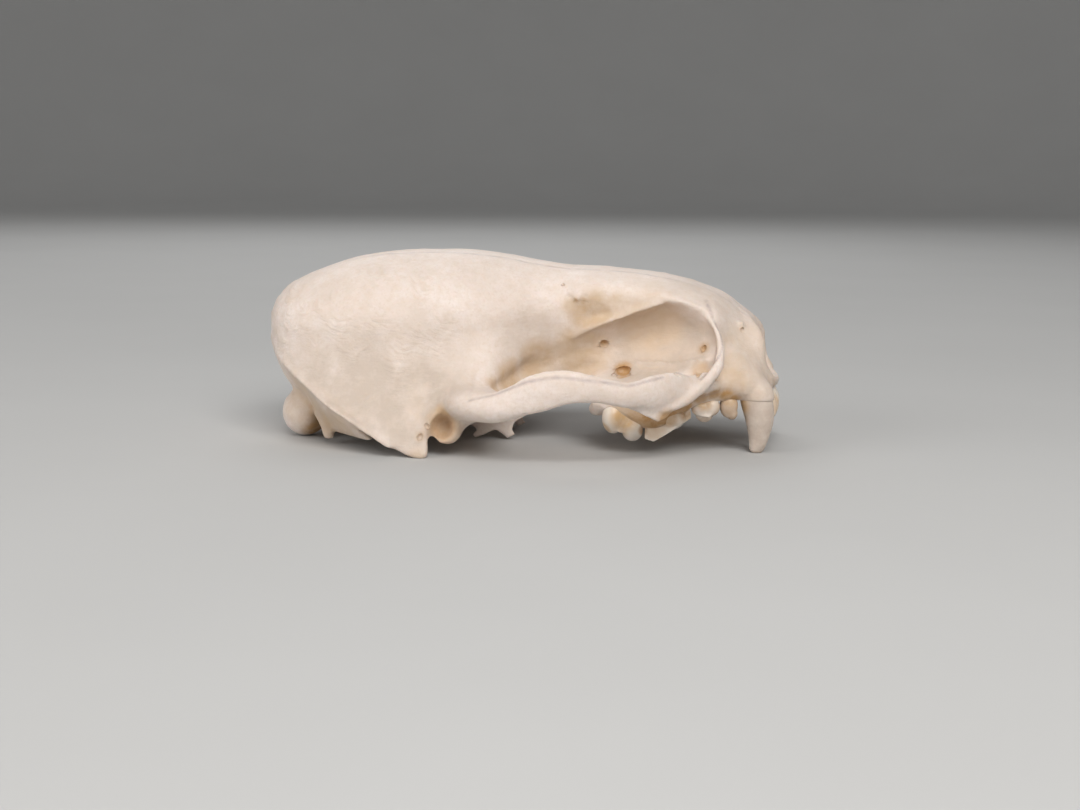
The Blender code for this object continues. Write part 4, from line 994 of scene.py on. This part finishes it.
def finish_teeth(piece, name, *nodes):
    """Place a piece with one tooth or more, and let it stand for their solids."""
    piece.name = name
    thin_out(piece, TOOTH_TRIANGLES)
    mark_hollows(piece.data)
    paint_stains_and_shade(piece, TOOTH_STAINS_AND_SHADE)
    piece.data.transform(Matrix.Translation(offset))
    piece.data.materials.clear()
    piece.data.materials.append(enamel)
    piece.data.shade_smooth()
    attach(piece, "root")
    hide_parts(*nodes)


def finish_tooth(tooth, node):
    """Place a right tooth and its mirror image."""
    for piece, side in zip(pair(tooth), ("right", "left")):
        finish_teeth(piece, f"{node}_crown_{side}", f"{node}_{side}")


finish_tooth(canine_right, "canine")

# The cheek teeth: two small blunt premolars, then a large premolar and a broad molar
# with round cusps for crushing shells, all worn smooth.
PREMOLAR_2 = (
    [((53.9, -19.6, 12.2), (2.3, 1.8, 3.2)), ((54.7, -19.2, 10.2), (1.5, 1.6, 1.7))],
    [[(52.2, -20.2, 13), (53.2, -20.6, 10.2), (55.6, -20.4, 9.8), (56.2, -19.9, 12), (54.4, -18.8, 16.5),
     (52.8, -19, 16.5), (53.4, -18.2, 11), (55.2, -18.2, 11)]],
)
PREMOLAR_3 = (
    [((47, -21.4, 11.6), (2.4, 1.9, 2.2)), ((49.6, -21.2, 12), (2.2, 1.8, 2.4)), ((47.9, -20.4, 9.8),
     (2.2, 1.6, 1.9))],
    [[(44.9, -22.6, 10.4), (47.4, -23.1, 9.6), (49.4, -22.9, 9.4), (51.5, -21.9, 11.6), (51.4, -21.8, 13.6),
     (49.6, -20.8, 17), (46, -21, 17), (45, -22.2, 12.6), (45.8, -19.6, 11), (50.8, -19.4, 12)]],
)
PREMOLAR_4 = (
    [((40.4, -23.9, 9.2), (3, 2.2, 2)), ((39.4, -17.4, 8.4), (3.6, 3.6, 3.2))],
    [[(33.3, -25, 4), (35.6, -25.7, 3.3), (38.3, -25.7, 5), (41.6, -24.9, 7.3), (44.8, -23.2, 9.2),
     (44.6, -22.8, 11.2), (43, -21.6, 15), (35, -21.6, 13), (33.3, -24.4, 7.2), (34, -18, 5.8),
     (36.6, -15.4, 6.8), (41, -16.8, 9), (44, -19.6, 10.8), (42.4, -18, 14), (36, -16.8, 13)]],
)
MOLAR_1 = (
    [((25.4, -23.5, 8.8), (2.9, 3, 3.9)), ((30.2, -23.5, 6), (2.7, 3, 2.9)), ((29.4, -16.4, 7.2),
     (3.5, 3.6, 3.4)), ((25, -16.8, 8.2), (3, 3.6, 3)), ((27.6, -19.8, 8.6), (4.4, 4.6, 2.4))],
    [[(24.6, -24.6, 12.4), (27, -25.2, 12.2), (32.6, -25.2, 8.8), (32.5, -25.2, 6), (28.6, -25.6, 5.2),
     (24.8, -25.6, 5.8), (23.4, -25, 7.4), (24, -20, 9), (32, -20, 7), (28, -20, 13)], [(24, -22.6, 11),
     (32.4, -22, 8), (32, -14.8, 9.6), (24.4, -14.8, 11), (28, -13.4, 9.6), (25, -21.6, 15),
     (31.4, -21.2, 14), (31, -16, 15), (25.4, -16, 15)]],
)


def crown(cusps, blocks):
    """A tooth fused from round cusps, given as centre and radii, and angular blocks."""
    forms = [lump(*cusp) for cusp in cusps] + [wedge(block) for block in blocks]
    return fuse(forms, smoothing=6, voxel=0.22)


finish_tooth(crown(*PREMOLAR_2), "premolar_2")
finish_tooth(crown(*PREMOLAR_3), "premolar_3")
finish_tooth(crown(*PREMOLAR_4), "premolar_4")
finish_tooth(crown(*MOLAR_1), "molar_1")

# The incisors: six small teeth in a nearly straight row between the canines, alike in form,
# the outer pair the largest. One crown is set out along the row and widened outwards.
# Crown: height from the gum's level, distance forward, side, half length and half width.
INCISOR = [
    (2.4, -1.9, 0, 0.6, 0.35), (0.8, -1, 0, 1.2, 0.75), (-2, 0.1, 0, 1.4, 1), (-4.5, 0.35, 0, 0.95, 0.98),
    (-5.1, 0.3, 0, 0.6, 0.78),
]
INCISOR_ROW = {"Count": 6, "Spacing": 3.6 * MM, "Bend": 10.0, "Width": 1.46, "Growth": 48.0, "Length": 0.4}
INCISOR_PLACE = (65.1, 0, 13.8)


def lay_incisors(n, given):
    """A crown set out along a bent row, wider with its distance from the middle."""
    half = n.times(n.maths("SUBTRACT", given["Count"], 1), -0.5)
    start = n.vector(Y=n.times(half, given["Spacing"]))
    step = n.vector(Y=given["Spacing"])
    row = n.add("GeometryNodeMeshLine", {"Count": given["Count"], "Start Location": start, "Offset": step})
    side = n.add("ShaderNodeSeparateXYZ", [n.add("GeometryNodeInputPosition")], "Y")
    back = n.times(n.times(side, side), n.times(given["Bend"], -1))
    bent = n.add("GeometryNodeSetPosition", {"Geometry": row, "Offset": n.vector(X=back)})
    beyond = n.maths("SUBTRACT", n.maths("ABSOLUTE", side), n.times(given["Spacing"], 0.5))
    wider = n.times(beyond, given["Growth"])
    tall = n.maths("ADD", n.times(wider, given["Length"]), 1)
    size = n.vector(X=tall, Y=n.maths("ADD", wider, given["Width"]), Z=tall)
    one = n.add("GeometryNodeObjectInfo", {"Object": given["Crown"]}, "Geometry")
    return n.add("GeometryNodeInstanceOnPoints", {"Points": bent, "Instance": one, "Scale": size})


one_crown = fuse([stack(INCISOR, 24)], smoothing=3, voxel=0.15)
incisors = grow("incisor_row", {**INCISOR_ROW, "Crown": one_crown, "Surface": enamel}, lay_incisors)
drop([one_crown])
incisors.data.transform(Matrix.Translation(Vector(INCISOR_PLACE) * MM))
finish_teeth(
    incisors, "incisor_row",
    "incisor_1_right", "incisor_2_right", "incisor_3_right",
    "incisor_1_left", "incisor_2_left", "incisor_3_left",
)

# The floor: a plain pale surface that the skull rests on. Far from the skull it curves
# up all round into a wall of the same paper, so no edge of it shows.
FLOOR_RADIUS, FLOOR_SIDES, BEND, WALL_HEIGHT = 1.6, 96, 0.8, 2.4
profile = [(0.5, 0), (1, 0)]
for turn in (radians(7.5 * step) for step in range(13)):
    profile.append((FLOOR_RADIUS + BEND * sin(turn), BEND - BEND * cos(turn)))
profile.append((FLOOR_RADIUS + BEND, WALL_HEIGHT))
sheet = bmesh.new()
rings = []
for far, high in profile:
    rings.append([sheet.verts.new((far * c, far * s, high)) for c, s in circle(FLOOR_SIDES)])
centre = sheet.verts.new((0, 0, 0))
for k in range(FLOOR_SIDES):
    j = (k + 1) % FLOOR_SIDES
    sheet.faces.new((centre, rings[0][k], rings[0][j]))
    for near, far in zip(rings, rings[1:]):
        sheet.faces.new((near[k], far[k], far[j], near[j]))
floor = new_piece(sheet, outward=False)
floor.name = "floor"
floor.data.shade_smooth()
paper = Surface("pale_floor")
tone = paper.blend(paper.noise(8, 3), (0.50, 0.50, 0.495), (0.54, 0.54, 0.535))
floor.data.materials.append(paper.finish(Base_Color=tone, Roughness=0.9))

# Soft studio light: a large key lamp above and in front, a weaker one at the side,
# a third behind the skull, and a pale sky.
LIT_SPOT = Vector((0, 0, 0.02))


def soft_light(name, place, size, power, colour):
    lamp = bpy.data.lights.new(name, "AREA")
    lamp.size = size
    lamp.energy = power
    lamp.color = colour
    made = new_object(name, lamp)
    made.location = place
    made.rotation_euler = (Vector(place) - LIT_SPOT).to_track_quat("Z", "Y").to_euler()


soft_light("key", (0.27, -0.68, 0.62), 0.55, 7.2, (1, 0.98, 0.955))
soft_light("fill", (-0.85, -0.6, 0.35), 0.8, 4.6, (1, 0.985, 0.97))
soft_light("back", (-0.2, 0.8, 0.7), 0.8, 3, (1, 1, 1))
world = bpy.data.worlds.new("studio")
world.use_nodes = True
sky = world.node_tree.nodes["Background"].inputs
sky["Color"].default_value = (0.93, 0.93, 0.93, 1)
sky["Strength"].default_value = 0.35
bpy.context.scene.world = world
bpy.context.scene.view_settings.view_transform = "Standard"

# The camera: at the skull's right side, a few degrees ahead of square and above it,
# and rolled by half a degree.
ABOVE, AHEAD, ROLL = 8.782, 7.527, 0.46
lens = bpy.data.cameras.new("camera")
lens.sensor_width = 36
lens.lens = 56.67
camera = new_object("camera", lens)
camera.location = (0.06216, -0.4423, 0.07684)
aim = Euler((radians(90 - ABOVE), 0, radians(AHEAD))).to_quaternion()
camera.rotation_mode = "QUATERNION"
camera.rotation_quaternion = aim @ Quaternion((0, 0, 1), radians(ROLL))
bpy.context.scene.camera = camera
